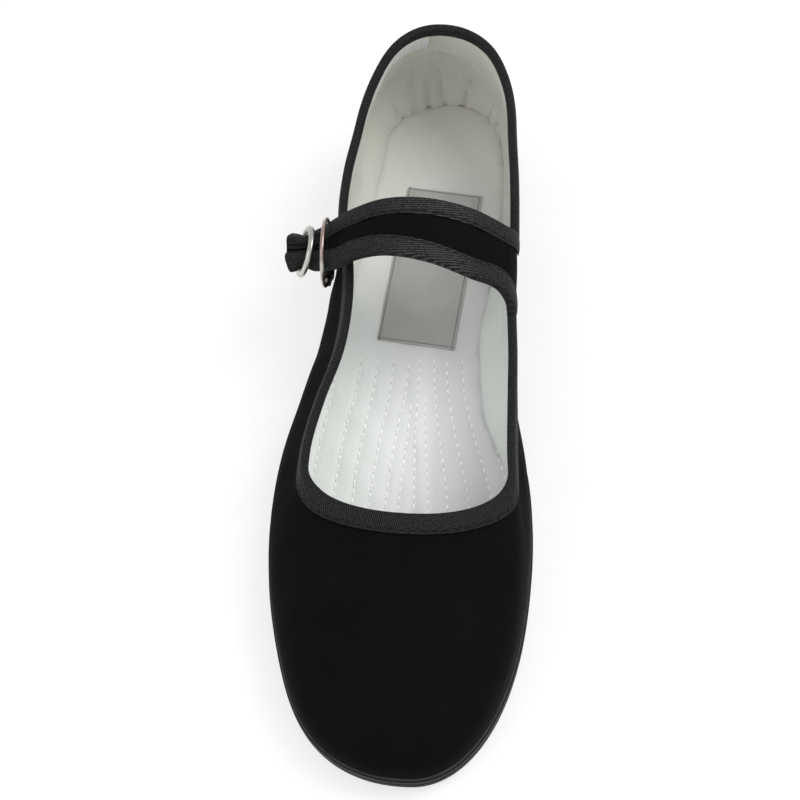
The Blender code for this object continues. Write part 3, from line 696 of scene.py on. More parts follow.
def shell(name, points, ends, slot, finish, *nodes, sharp=60.0):
    """A piece over rows of points, each row a loop, with a UV map in metres.

    Its ends are "capped", joined in a "ring", or "merged" where a row has shrunk to a line.
    """
    rows, columns = points.shape[:2]
    faces, i, j = quads(rows, columns, ends == "ring")
    u = lengths(points, 0, ends == "ring")
    v = lengths(points, 1, True)
    corners = [(i, j), (i, j + 1), (i + 1, j + 1), (i + 1, j)]
    uv = np.stack([np.stack([u[a], v[b]], axis=-1) for a, b in corners], axis=-2).reshape(-1, 2)
    faces = faces.tolist()
    if ends == "capped":
        faces.append(list(range(columns)))
        faces.append(list(range((rows - 1) * columns, rows * columns)))
        uv = np.concatenate([uv, np.zeros((2 * columns, 2))])
    mesh = bpy.data.meshes.new(name)
    mesh.from_pydata((points.reshape(-1, 3) + shift).tolist(), [], faces)
    layer = mesh.uv_layers.new(name="UVMap")
    layer.data.foreach_set("uv", np.ascontiguousarray(uv, np.float32).ravel())
    made = bmesh.new()
    made.from_mesh(mesh)
    if ends == "merged":
        bmesh.ops.remove_doubles(made, verts=made.verts, dist=MERGE_DISTANCE)
    bmesh.ops.recalc_face_normals(made, faces=made.faces)
    made.to_mesh(mesh)
    made.free()
    mesh.shade_smooth()
    mesh.set_sharp_from_angle(angle=math.radians(sharp))
    piece(mesh, slot, finish, *nodes)


def on_line(line, places):
    """Points of a line at places between its own points."""
    low = np.clip(np.floor(places).astype(int), 0, len(line) - 2)
    share = (places - low)[:, None]
    return line[low] * (1 - share) + line[low + 1] * share


def thread_points(line, normals, pitch, length, radius, start=0.0, end=0.0):
    """Stitches along a line: one long bead each, flat ended, half sunk in the cloth."""
    normals = np.broadcast_to(normals, line.shape)
    run = running(np.linalg.norm(np.diff(line, axis=0), axis=1))
    sewn = run[-1] - start - end
    count = max(2, int(sewn / pitch))
    places = np.interp(start + (np.arange(count) + 0.5) * sewn / count, run, np.arange(len(line)))
    ahead = on_line(line, np.minimum(places + THREAD_STEP, len(line) - 1))
    forward = unit(ahead - on_line(line, np.maximum(places - THREAD_STEP, 0)))
    side = unit(np.cross(forward, unit(on_line(normals, places))))
    up = np.cross(side, forward)
    t = np.array(BEAD_STATIONS)
    girth = radius * np.sqrt(np.maximum(0.04, 1 - t**2))[:, None]
    angle = turns(BEAD_SIDES)
    middle = on_line(line, places)[:, None, None] + forward[:, None, None] * (t * length / 2)[:, None, None]
    across = side[:, None, None] * (girth * np.cos(angle))[..., None]
    return middle + across + up[:, None, None] * (girth * np.sin(angle))[..., None]


def beads(name, sets, slot, finish):
    """A piece of many beads, each a small grid that wraps round."""
    points = np.concatenate(sets)
    count, stations, sides = points.shape[:3]
    faces = quads(stations, sides)[0][None] + (np.arange(count) * stations * sides)[:, None, None]
    mesh = bpy.data.meshes.new(name)
    mesh.from_pydata((points.reshape(-1, 3) + shift).tolist(), [], faces.reshape(-1, 4).tolist())
    mesh.shade_smooth()
    piece(mesh, slot, finish)


# Upper and lining


def creases(rows, around, level, height):
    """Soft troughs and ridges of the cloth, as an offset of each point of the skin."""
    v = level * height
    u = around * HALF_ROUND + 0 * v
    scale = np.array([HALF_ROUND, np.mean(height)])
    total = np.zeros_like(u)
    for from_around, from_level, to_around, to_level, width, depth in zip(*rows.values()):
        a = np.array([from_around, from_level]) * scale
        run = np.array([to_around, to_level]) * scale - a
        length = np.linalg.norm(run)
        t = ((u - a[0]) * run[0] + (v - a[1]) * run[1]) / length**2
        off = ((u - a[0]) * run[1] - (v - a[1]) * run[0]) / length
        taper = clipped(t) * clipped(1 - t) * 4
        total += depth * BALL_WIDTH * bump_at(off, width * BALL_WIDTH) * np.sqrt(clipped(taper))
    return total


def build_upper_cloth():
    """The velvet shell, from under the sole's edge up to the topline."""
    around = around_ring()
    levels = np.linspace(0, 1, UPPER_ROWS)[None] ** 0.9
    fold = creases(CREASES, around, levels, rib_lengths())
    toe = clipped((np.abs(around) - GATHER_FROM) / (1 - GATHER_FROM))
    ripple = np.sin(2 * math.pi * around * HALF_ROUND / GATHER_PITCH)
    fold += GATHER_DEPTH * ripple * toe * bump_at(levels, GATHER_RISE) * (levels > 0)
    outer = skin(levels, (fold * clipped((1 - levels) / CALM_BELOW))[..., None])
    inner = skin(np.linspace(1, 0, 9)[None], -VELVET_WALL)
    tuck = outer[:, :1] - (0, 0, CLEARANCE * 1.5)
    points = np.concatenate([tuck, outer, inner], axis=1)
    shell("velvet_upper", points, "ring", "black_velvet", velvet, "upper")


def lining_relief(around, levels, height):
    """How far the lining stands in from its plain wall: puckers, laps, creases, and the roll at its foot."""
    rise = levels * height
    run = around * HALF_ROUND + 0 * rise
    above = rise - INSOLE_THICKNESS
    relief = np.zeros_like(run)
    # Each pucker cuts back into the wall, with a soft ridge on both sides
    for place, lean, reach, width, depth in zip(*PUCKERS.values()):
        width = width * PUCKER_WIDTH
        depth = depth * PUCKER_DEPTH
        near = run - (place * HALF_ROUND + lean * above)
        fade = clipped(1 - above / (reach * HEEL_HEIGHT)) ** 1.3
        beside = bump_at(near - 2.2 * width, 1.3 * width) + bump_at(near + 2.2 * width, 1.3 * width)
        relief += (0.45 * beside - bump_at(near, width)) * depth * fade
    for place, lean, drop in zip(*LAPS.values()):
        edge = place * HALF_ROUND + lean * above
        relief += drop / (1 + np.exp(-np.sign(place) * (run - edge) / LAP_EDGE))
    relief += creases(LINING_CREASES, around, levels, height)
    # The cloth is never quite smooth
    wander = WANDER_LONG * np.sin(run / 0.011 + 1.3) * np.sin(rise / 0.009 + 0.4)
    wander += WANDER_SHORT * np.sin(run / 0.0043 + rise / 0.006)
    relief += wander * clipped(levels * 5) * clipped((1 - levels) * 6)
    share = np.interp(around, ROLL_AROUND, ROLL_SHARE)
    foot = np.maximum(rise - INSOLE_THICKNESS * 0.6, 0)
    relief += ROLL_OUT * share * np.exp(-((foot / ROLL_RISE) ** 1.6))
    return np.maximum(relief, -PUCKER_STOP)


def build_lining():
    """The cotton lining. Returns the ring, in plan, where it meets the insole's face."""
    levels = np.linspace(0.0, 1, LINING_ROWS)[None]
    relief = lining_relief(around_ring(), levels, rib_lengths())
    inner = skin(levels, (-UPPER_WALL - relief)[..., None])
    back = skin(np.linspace(1, 0, 7)[None], -UPPER_WALL + LINING_WALL)
    shell("cotton_lining", np.concatenate([inner, back], axis=1), "ring", "white_cotton", lining_cotton)
    rises = inner[..., 2] - inner[:, :1, 2]
    return np.array([
        [np.interp(INSOLE_THICKNESS, rise, line[:, k]) for k in (0, 1)] for rise, line in zip(rises, inner)
    ])


def build_lining_tape():
    """A ribbed white tape sewn along the lining's top edge at the back."""
    places = np.linspace(place_of(LINING_TAPE_FROM), place_of(LINING_TAPE_TO), 70)
    high = levels_below(TAPE_TURN * 0.8)
    low = levels_below(TAPE_TURN * 0.8 + LINING_TAPE_WIDTH)
    levels = high + (low - high) * np.linspace(0, 1, 14)[None]
    swell = TAPE_PUFF * np.sin(np.linspace(0, math.pi, 14)) ** 0.5
    face = skin(levels, (-UPPER_WALL - LINING_TAPE_LIFT - swell)[None, :, None])
    back = skin(levels[:, ::-1], -UPPER_WALL + SEAT)
    points = between(np.concatenate([face, back], axis=1), places)
    shell("lining_tape", points, "capped", "white_cotton", white_tape)


# Tapes, strap and rings


def tape_puff(share, width):
    """How far the tape swells across its width, with a groove along the stitches."""
    groove = TAPE_GROOVE * bump_at(share * width - STITCH_INSET, GROOVE_SPREAD)
    return np.maximum(TAPE_PUFF * np.sin(math.pi * share) ** 0.6 - groove, -0.0001)


def tape_section(edge, deep):
    """The folded tape's section round the topline: down the outer face, over the top and down the inner."""
    width = np.linspace(0, 1, 25)
    levels = deep + (edge - deep) * width[None]
    puff = tape_puff(width, COLLAR_TAPE_WIDTH)
    outside = skin(levels, (TAPE_OUT + puff)[None, :, None])
    up = unit(skin(edge) - skin(levels_below(TAPE_WIDTH / 3)))
    middle = skin(edge, -UPPER_WALL / 2)
    out = unit(skin(edge, 0.001) - skin(edge))
    radius = UPPER_WALL / 2 + TAPE_OUT
    rounds = np.linspace(0, math.pi, 13)[1:-1]
    over = [middle + out * radius * math.cos(turn) + up * radius * 0.75 * math.sin(turn) for turn in rounds]
    turned = levels_below(TAPE_TURN)
    levels_in = turned + (edge - turned) * width[None]
    inside = skin(levels_in[:, ::-1], (-UPPER_WALL - TAPE_OUT - 0.3 * puff[::-1])[None, :, None])
    back = skin(levels[:, ::6], -UPPER_WALL / 2)
    return np.concatenate([outside, *over, inside, back], axis=1)


def build_collar_tape(first, last):
    """Tape folded over the topline from the strap's rear edge round to its front. Returns its stitches."""
    deep = levels_below(COLLAR_TAPE_WIDTH)
    ring = tape_section(np.ones_like(deep), deep)
    whole = np.arange(math.ceil(first), len(ring) + math.floor(last) + 1)
    places = [first, *whole, len(ring) + last]
    points = between(ring, places)
    shell("collar_tape", points, "capped", "black_grosgrain", collar_grosgrain, "collar_binding")
    sewn = levels_below(COLLAR_TAPE_WIDTH - STITCH_INSET)
    puff = tape_puff(STITCH_INSET / COLLAR_TAPE_WIDTH, COLLAR_TAPE_WIDTH)
    line = skin(sewn, TAPE_OUT + puff)[:, 0]
    normal = unit(skin(sewn, 0.001)[:, 0] - skin(sewn)[:, 0])
    path = between(line, places)
    return thread_points(path, between(normal, places), *TAPE_STITCH, 0.002, 0.002)


def strap_point(along, share, lift):
    """Points of the strap at shares of the way across (-1 front, 1 rear) and heights off its middle."""
    centre, to_heel, normal, half, fold = strap_frame(along)
    lobes = fold * 0.5 * (1 - np.cos(2 * math.pi * share))
    outwards = unit(np.gradient(centre, axis=0))
    ending = clipped((along[:, None] - TIP_FROM) / (1 - TIP_FROM)) ** 2
    short = ending * (TIP_SHORT * np.abs(share) ** 5 + TIP_GROOVE * bump_at(share, 0.12))
    across = to_heel[:, None] * (half * share)[..., None]
    rise = normal[:, None] * (lobes + lift)[..., None]
    return centre[:, None] + across + rise - outwards[:, None] * short[..., None]


def with_root(points, drop):
    """Adds sections below the root, down inside the upper's wall."""
    return np.concatenate([points[:1] - UP * step for step in np.linspace(drop, 0, 5)[:-1]] + [points])


def build_strap_cloth():
    along = np.linspace(0, 1, STRAP_ROUNDS)
    share = np.linspace(-1, 1, 41)[None] * 0.97
    pillow = STRAP_PILLOW * clipped(1 - (np.abs(share) / 0.8) ** 2)
    drag = STRAP_DRAG * np.sin(along[:, None] * 46 + 2 * share) * (along[:, None] > 0.1)
    top = strap_point(along, share, STRAP_WALL / 2 + pillow + drag)
    under = strap_point(along, share[:, ::-1], np.full((len(along), 1), -STRAP_WALL / 2))
    points = with_root(np.concatenate([top, under], axis=1), ROOT_DROP)
    shell("velvet_strap", points, "capped", "black_velvet", velvet, "strap")


def build_strap_tape(name, side, node):
    """Tape folded over one edge of the strap, the front (-1) or the rear (1). Returns its stitches."""
    along = np.linspace(0, 1, STRAP_ROUNDS)
    normal, half = strap_frame(along)[2:4]
    width = np.minimum(TAPE_WIDTH, half * np.interp(along, STRAP_TAPE_AT, STRAP_TAPE_SHARE)[:, None])
    radius = STRAP_WALL / 2 + TAPE_OUT
    across = np.linspace(1, 0, 25)
    puff = tape_puff(1 - across, TAPE_WIDTH)
    reach = width * across[None] + radius * 0.5 * (1 - across[None])

    def at(inset, lift):
        return strap_point(along, side * (1 - inset / half), lift)

    over = at(reach, radius + puff[None])
    bends = np.linspace(math.pi / 2, -math.pi / 2, 13)[1:-1]
    bend = at(radius * 0.5 * (1 - np.cos(bends))[None], radius * np.sin(bends)[None])
    under = at(reach[:, ::-1], -radius - 0.5 * puff[None])
    back = at(width * across[None, ::3] * 0.9 + radius * 0.5, np.zeros((1, len(across[::3]))))
    points = with_root(np.concatenate([over, bend, under, back], axis=1), ROOT_DROP * 0.8)
    shell(name, points, "capped", "black_grosgrain", grosgrain, node)
    lift = np.full((1, 1), radius + tape_puff(STITCH_INSET / TAPE_WIDTH, TAPE_WIDTH))
    return thread_points(at(width - STITCH_INSET, lift)[:, 0], normal, *TAPE_STITCH, 0.001, 0.006)


def build_ring(name, centre, diameter, wire, lean, sides, finish):
    """A ring in the plane of Y and Z, with its top leaning to the big toe's side."""
    turn = turns(128)[:, None]
    roll = turns(sides)[None]
    reach = (diameter - wire) / 2 + wire / 2 * np.cos(roll)
    up = reach * np.sin(turn)
    x = wire / 2 * np.sin(roll) + 0 * turn
    cos = math.cos(lean)
    sin = math.sin(lean)
    place = np.stack([x * cos + up * sin, reach * np.cos(turn), up * cos - x * sin], axis=-1)
    shell("nickel_" + name, place + centre, "ring", "nickel", finish, name)


def build_rings():
    """Both rings round the strap. Returns the inner one's centre."""
    centres = strap_frame(np.linspace(0, 1, 1001))[0]
    inner = centres[round(INNER_RING_PLACE * 1000)] - (0.0, 0.0, INNER_RING_DROP)
    outer = centres[round(OUTER_RING_PLACE * 1000)]
    build_ring("ring_inner", inner, INNER_RING_DIAMETER, INNER_RING_WIRE, 0.0, 24, worn_nickel)
    build_ring("ring_outer", outer, OUTER_RING_DIAMETER, OUTER_RING_WIRE, OUTER_RING_LEAN, 28, nickel)
    return inner


def build_tab(ring_centre):
    """The folded tape that holds the inner ring, sewn to the upper's side. Returns its stitches."""
    radius = INNER_RING_WIRE / 2 + 1.5 * CLEARANCE
    arc_z = ring_centre[2] - (INNER_RING_DIAMETER - INNER_RING_WIRE) / 2
    rounds = np.linspace(0, math.pi, 25)
    over = [(radius * math.cos(turn), radius * math.sin(turn) + CLEARANCE) for turn in rounds]
    drop = np.linspace(0, 1, 14)[1:]
    meet = 1 - 0.98 * clipped(2.2 * drop) ** 1.3
    down = [(-radius * near, -step * TAB_DEPTH) for near, step in zip(meet, drop)]
    back = [(radius * near, -step * TAB_DEPTH) for near, step in zip(meet[::-1], drop[::-1])]
    path = np.array(over + down + back)
    out = outward(path) * TAB_THICKNESS
    wall = wall_x(ring_centre[1], arc_z + path[:, 1])
    lean = np.minimum(wall - TAB_THICKNESS - radius, ring_centre[0]) - ring_centre[0]
    lean = np.where(path[:, 1] < 0, lean, 0.0)
    y = ring_centre[1] + TAB_WIDTH / 2 * np.linspace(-1, 1, 9)
    inside = np.stack([ring_centre[0] + lean + path[:, 0], arc_z + path[:, 1]], axis=1)
    faces = []
    for edge in (inside, inside + out):
        x, z = (edge[:, k, None] + 0 * y for k in (0, 1))
        faces.append(np.stack([x, y + 0 * x, z], axis=-1))
    points = np.concatenate([faces[0], faces[1][:, ::-1]], axis=1)
    shell("ring_loop", points, "ring", "black_grosgrain", grosgrain, "ring_tab")
    place = len(over) + len(drop) - 5
    return thread_points(faces[1][place][1:-1], (out[place][0], 0.0, out[place][1]), *TAB_STITCH)


# Sole


def build_outsole():
    """The rubber sole: a lip, a groove and a wall round its side, and cross grooves underneath."""
    along, deep = tread_stations()

    def line(inset, height, lift=0.0):
        pair = []
        for side in inset_sides(along, inset):
            low = bed_bottom(side[:, 1])
            high = bed_top(side[:, 1])
            pair.append(np.column_stack([side, low + (high - low) * height + lift]))
        return pair

    lines = [line(CHAMFER * inset, height) for height, inset in zip(*SOLE_SIDE.values())]
    lines += [line(RIM_WIDTH, 0.0), line(RIM_WIDTH + GROOVE_WALL, 0.0, GROOVE_DEPTH * deep)]
    medial, lateral = (list(side) for side in zip(*lines))
    shares = np.linspace(0, 1, 14)[1:-1]
    middle = [medial[-1] + (lateral[-1] - medial[-1]) * share for share in shares]
    across = [lateral[0] + (medial[0] - lateral[0]) * share for share in shares]
    points = np.stack(medial + middle + lateral[::-1] + across, axis=1)
    shell("rubber_sole", points, "merged", "black_rubber", rubber, "outsole", sharp=35.0)


def build_sole_bead():
    """A thin bead along the joint between the upper and the sole, grey to paint the highlight along the
    sole's top edge.
    """
    foot = ribs[:, 0]
    out = np.column_stack([outward(foot[:, :2]), np.zeros(len(foot))])
    centre = foot + out * BEAD_OUT - (0, 0, CLEARANCE * 0.6)
    points = [centre + out * BEAD_RADIUS * math.cos(a) + UP * BEAD_RADIUS * math.sin(a) for a in turns(8)]
    shell("sole_bead", np.stack(points, axis=1), "ring", "black_rubber", edge_highlight_rubber)


# Insole and label


def quilt_lines():
    """The rows of stitches from the waist to the toe, as points in plan."""
    found = []
    for waist, middle, throat, toe, start in zip(*QUILT.values()):
        y = np.linspace(start, QUILT_END, 90)
        x = np.interp(-y, QUILT_Y, np.array([waist, waist, middle, throat, toe]) * BALL_WIDTH)
        x = np.convolve(np.pad(x, 8, mode="edge"), np.ones(17) / 17, mode="valid")
        found.append(np.column_stack([x, y]))
    return found


def build_quilted_insole(edge_ring):
    """The insole, a padded cotton bed with fanned rows of stitches. Returns its upper face."""
    ring = np.roll(edge_ring, -int(np.argmax(edge_ring[:, 1])), axis=0)
    toe = int(np.argmin(ring[:, 1]))
    y = ring[0, 1] - np.ptp(ring[:, 1]) * eased(INSOLE_ROUNDS)
    lateral = np.column_stack([at_y(ring[: toe + 1], y) - EDGE_TUCK, y])
    medial = np.column_stack([at_y(np.concatenate([ring[toe:], ring[:1]])[::-1], y) + EDGE_TUCK, y])
    # The edge on the big toe's side is uneven
    wave = np.sin(y * 380) * np.sin(y * 148 + 1.0) + 0.5 * np.sin(y * 1010 + 3 * np.sin(y * 260))
    medial[:, 0] += EDGE_WAVE * wave * clipped((medial[:, 0] - lateral[:, 0]) / 0.04)
    shares = 0.75 * np.linspace(0, 1, INSOLE_ACROSS) + 0.25 * eased(INSOLE_ACROSS)
    x, y = np.moveaxis(medial[:, None] + (lateral - medial)[:, None] * shares[None, :, None], -1, 0)
    edge = np.minimum(shares, 1 - shares)[None] * np.abs(medial - lateral)[:, :1]
    relief = 0.0 * x
    for line in quilt_lines():
        inside = clipped((line[0, 1] - y) / QUILT_FADE) * clipped((y - line[-1, 1]) / QUILT_FADE)
        relief -= QUILT_DEPTH * bump_at(x - at_y(line, y), QUILT_WIDTH) * inside
    # A soft ridge runs down the middle, over the padding's own unevenness
    held = clipped((0.022 - y) / 0.02) * clipped((y + 0.075) / 0.03)
    relief += RIDGE_RISE * bump_at(x - np.interp(-y, RIDGE_Y, RIDGE_LINE), RIDGE_WIDTH) * held
    relief += 0.00018 * np.sin(x / 0.0061 + 0.9) * np.sin(y / 0.0085 + 0.3)
    relief += 0.00010 * np.sin(x / 0.0023 + y / 0.0031)
    top = insole_top(y) + relief * clipped(edge / 0.003) - EDGE_DROP * np.exp(-edge / EDGE_SOFT)
    face = np.dstack([x, y, top])
    low = np.dstack([x, y, bed_top(y) + CLEARANCE])[:, ::-8]
    points = np.concatenate([face, low], axis=1)
    shell("quilted_insole", points, "capped", "white_cotton", cotton, "insole")
    return face


def build_quilt_stitches(face):
    """Threads on the insole, and grey beads between them that paint the shade in the stitch holes."""
    sets = []
    hole_shades = []
    for line in quilt_lines():
        z = []
        for x, y in line:
            row = face[np.argmin(np.abs(face[:, 0, 1] - y))]
            z.append(np.interp(-x, -row[:, 0], row[:, 2]))
        medial, lateral = inset_sides(clipped((Y_BACK - line[:, 1]) / SOLE_LENGTH), QUILT_MARGIN)
        keep = (line[:, 0] < medial[:, 0]) & (line[:, 0] > lateral[:, 0])
        path = np.column_stack([line, z])[keep]
        if len(path) < 8:
            continue
        sets.append(thread_points(path, UP, QUILT_PITCH, QUILT_STITCH, QUILT_THREAD))
        half = QUILT_PITCH / 2
        # Grey beads, sunk a little, paint the shade in the holes between the stitches
        sunk = path - UP * HOLE_SHADE_SINK
        hole_shades.append(thread_points(sunk, UP, QUILT_PITCH, HOLE_SHADE_LENGTH, HOLE_SHADE_RADIUS, half, -half))
    beads("quilt_stitches", sets, "white_cotton", white_thread)
    beads("stitch_hole_shade", hole_shades, "white_cotton", hole_shade_grey)


def build_label():
    """A plain satin patch with a turned edge and a dark edge thread."""
    middle = (LABEL_SHIFT, Y_BACK - SOLE_LENGTH * LABEL_PLACE)
    cos = math.cos(LABEL_TURN)
    sin = math.sin(LABEL_TURN)
    u = np.linspace(-1, 1, 81)[:, None]
    v = np.linspace(-1, 1, 37)[None]
    x = v * LABEL_WIDTH / 2 + 0 * u
    y = u * LABEL_LENGTH / 2 + 0 * v
    place = np.stack([x * cos - y * sin, x * sin + y * cos], axis=-1) + middle
    from_edge = np.minimum((1 - np.abs(v)) * LABEL_WIDTH / 2, (1 - np.abs(u)) * LABEL_LENGTH / 2)
    # A turned edge, with a groove at its stitches, on slightly uneven satin
    swell = 0.00030 * clipped(from_edge / 0.0012) ** 0.5 - 0.00022 * bump_at(from_edge - 0.0015, 0.0005)
    swell = swell + 0.00012 * np.sin(y / 0.0052 + 1.0) * np.sin(x / 0.0060 + 0.5)
    bed_here = insole_top(place[..., 1])
    face = np.dstack([place, bed_here + CLEARANCE + LABEL_THICKNESS * 0.6 + swell])
    low = np.dstack([place, bed_here - SEAT])[:, ::-6]
    shell("satin_label", np.concatenate([face, low], axis=1), "capped", "grey_satin", satin, "insole_label")
    border = np.concatenate([face[:, 1], face[-2, 1:-1], face[::-1, -2], face[1, ::-1]])
    beads("label_thread", [thread_points(border, UP, *LABEL_STITCH)], "grey_satin", grey_thread)


# Materials


class Finish:
    """A new material, and the shader nodes that it is made of. Lengths are in metres."""

    def __init__(self, name, rough, metal=0.0, sheen=0.0, sheen_rough=0.4, tint=(1, 1, 1), specular=0.5):
        self.made = bpy.data.materials.new(name)
        self.made.use_nodes = True
        self.tree = self.made.node_tree
        self.inputs = self.tree.nodes["Principled BSDF"].inputs
        for socket, value in (
            ("Roughness", rough), ("Metallic", metal), ("Specular IOR Level", specular),
            ("Sheen Weight", sheen), ("Sheen Roughness", sheen_rough), ("Sheen Tint", tint),
        ):
            self.put(self.inputs[socket], value)
        places = self.node("TexCoord").outputs
        self.place = places["Object"]
        self.uv = places["UV"]

    def put(self, socket, value):
        if isinstance(value, bpy.types.NodeSocket):
            self.tree.links.new(value, socket)
        elif isinstance(value, tuple):
            socket.default_value = (*value, 1.0)
        elif value is not None:
            socket.default_value = value

    def node(self, kind, *values, settings=(), **inputs):
        """A shader node; values fill its inputs in order, and inputs go by name."""
        made = self.tree.nodes.new("ShaderNode" + kind)
        for name, value in settings:
            setattr(made, name, value)
        for key, value in [*enumerate(values), *inputs.items()]:
            self.put(made.inputs[key], value)
        return made

    def maths(self, operation, *values):
        return self.node("Math", *values, settings=(("operation", operation),)).outputs[0]

    def times(self, first, second):
        """Their product."""
        return self.maths("MULTIPLY", first, second)

    def noise(self, scale, detail=3.0, rough=0.55):
        made = self.node("TexNoise", Vector=self.place, Scale=scale, Detail=detail, Roughness=rough)
        return made.outputs["Fac"]

    def span(self, value, low, high, to_low=0.0, to_high=1.0):
        """A range of the value mapped to another, and held at its ends."""
        return self.node("MapRange", value, low, high, to_low, to_high).outputs[0]

    def axis(self, source, number):
        return self.node("SeparateXYZ", source).outputs[number]

    def blend(self, share, first, second):
        """Two colours mixed by a share."""
        made = self.node("Mix", settings=(("data_type", "RGBA"),))
        for number, value in ((0, share), (6, first), (7, second)):
            self.put(made.inputs[number], value)
        return made.outputs[2]

    def bump(self, height, distance, strength, before=None):
        made = self.node("Bump", Height=height, Distance=distance, Strength=strength, Normal=before)
        return made.outputs[0]

    def wave(self, source, period, turn_degrees):
        """A wave from 0 to 1 across the cloth, in lines at an angle to the tape's length."""
        turn = math.radians(turn_degrees)
        parts = self.node("SeparateXYZ", source).outputs
        along = self.times(parts[0], 2 * math.pi * math.cos(turn) / period)
        across = self.times(parts[1], 2 * math.pi * math.sin(turn) / period)
        wave = self.maths("SINE", self.maths("ADD", along, across))
        return self.maths("MULTIPLY_ADD", wave, 0.5, 0.5)

    def done(self, colour, normal=None, roughness=None):
        """Joins the last nodes to the shader. Returns the material."""
        self.put(self.inputs["Base Color"], colour)
        self.put(self.inputs["Normal"], normal)
        self.put(self.inputs["Roughness"], roughness)
        return self.made


def velvet_finish():
    mat = Finish("black_velvet", 0.92, sheen=0.025, sheen_rough=0.35, tint=(0.62, 0.68, 0.80), specular=0.03)
    nap = mat.noise(70.0, 4.0, 0.6)
    pile = mat.noise(2600.0, 2.0)
    tone = mat.blend(mat.span(nap, 0.30, 0.72), (0.0026, 0.0027, 0.0033), (0.0042, 0.0044, 0.0053))
    tone = mat.blend(mat.span(pile, 0.45, 0.85, 0.0, 0.55), tone, (0.0085, 0.0088, 0.0100))
    cells = mat.node("TexVoronoi", Vector=mat.place, Scale=150.0, Randomness=1.0).outputs
    sparse = mat.span(cells["Distance"], 0.016, 0.028, 1.0, 0.0)
    chosen = mat.node("SeparateColor", cells["Color"]).outputs[0]
    lint = mat.times(sparse, mat.maths("GREATER_THAN", chosen, 0.72))
    tone = mat.blend(mat.times(lint, 0.5), tone, (0.20, 0.19, 0.16))
    soft = mat.bump(mat.noise(420.0), 0.0003, 0.35)
    return mat.done(tone, mat.bump(pile, 0.00012, 0.6, soft), mat.span(nap, 0.3, 0.7, 0.86, 0.98))


def grosgrain_finish(name, light, painted_shade_tone=None):
    """A black tape, with painted shade in the groove at its stitches. Given a shaded tone, its picks lie in
    rows that carry a painted highlight in a band across the middle of the shoe, and elsewhere the tape is
    painted flat at that tone as shade.
    """
    mat = Finish(name, 0.62, sheen=0.02, sheen_rough=0.4, tint=(0.8, 0.82, 0.85), specular=0.14)
    if painted_shade_tone is None:
        ribbed = mat.maths("POWER", mat.wave(mat.uv, 0.00060, 24.0), 1.4)
        weave = mat.times(ribbed, mat.maths("MULTIPLY_ADD", mat.wave(mat.uv, 0.00052, 100.0), 0.6, 0.4))
    else:
        picks = mat.maths("MULTIPLY_ADD", mat.wave(mat.place, 0.00058, 12.0), 0.45, 0.55)
        # Painted light by place: full across the middle of the shoe, fading to painted shade towards the
        # lateral side and partly again towards the medial side
        x = mat.axis(mat.place, 0)
        painted_light = mat.maths("MINIMUM", mat.span(x, -0.012, 0.012, 0.12, 1.0), mat.span(x, 0.016, 0.024, 1.0, 0.2))
        # Where the painted light fades, the tape takes a flat painted shade
        plain = mat.times(mat.maths("SUBTRACT", 1.0, painted_light), painted_shade_tone)
        rows = mat.times(mat.wave(mat.place, 0.00082, 90.0), picks)
        weave = mat.maths("MULTIPLY_ADD", rows, painted_light, plain)
    # Painted shade darkens the weave along the groove at the stitches
    off_stitch = mat.maths("ABSOLUTE", mat.maths("SUBTRACT", mat.axis(mat.uv, 1), STITCH_INSET))
    weave = mat.times(weave, mat.span(off_stitch, 0.0001, 0.0005, 0.15, 1.0))
    weave = mat.times(weave, mat.span(mat.noise(1500.0, 2.0), 0.36, 0.64, 0.35, 1.65))
    tone = mat.blend(weave, (0.0006, 0.0006, 0.0008), (light, light * 1.02, light * 1.07))
    worn = mat.noise(260.0, 4.0)
    tone = mat.blend(mat.span(worn, 0.55, 0.80, 0.0, 0.20), tone, (light * 0.5,) * 3)
    soft = mat.bump(worn, 0.0003, 0.3)
    return mat.done(tone, mat.bump(weave, 0.00016, 0.9, soft), mat.span(weave, 0.0, 1.0, 0.74, 0.50))


def woven_cotton(name, shaded_heel_tone, cool, period, depth, smudge, rib=False, left=None, right=None):
    """Plain cotton weave, with soft uneven colour and a darker, yellower tone painted towards the heel as
    shade; given two more tones, it takes painted light left of the insole's ridge and painted shade right of
    it.
    """
    mat = Finish(name, 0.88, sheen=0.08, sheen_rough=0.5, specular=0.25)
    if rib:
        weft = mat.maths("MULTIPLY_ADD", mat.wave(mat.uv, period * 0.7, 90.0), 0.3, 0.7)
    else:
        weft = mat.wave(mat.uv, period, 90.0)
    weave = mat.times(mat.wave(mat.uv, period, 0.0), weft)
    dark = tuple(value * smudge for value in cool)
    spots = mat.noise(900.0)
    # Painted shade: the cotton turns darker and yellower towards the heel, where the heel cup lies in shade;
    # a random mottle adds to the same mix
    to_heel = mat.span(mat.axis(mat.place, 1), 0.030, 0.105)
    heel_shade_and_mottle = mat.maths("ADD", to_heel, mat.span(mat.noise(26.0), 0.36, 0.66, -0.12, 0.15))
    # Painted light brightens the insole left of its ridge, and painted shade darkens it right of the ridge
    if right:
        x = mat.axis(mat.place, 0)
        cool = mat.blend(mat.span(x, RIDGE_X - 0.022, RIDGE_X - 0.006), left, cool)
        cool = mat.blend(mat.span(x, RIDGE_X - 0.002, RIDGE_X + 0.003), cool, right)
    tone = mat.blend(mat.span(heel_shade_and_mottle, 0.0, 1.0), cool, shaded_heel_tone)
    shade = mat.maths("ADD", mat.times(weave, 0.5), mat.times(spots, 0.5))
    tone = mat.blend(mat.span(shade, 0.15, 0.62, 0.5, 0.0), tone, dark)
    soft = mat.bump(mat.noise(300.0), 0.0003, 0.35)
    return mat.done(tone, mat.bump(weave, depth, 0.8, soft), mat.span(spots, 0.3, 0.7, 0.80, 0.95))


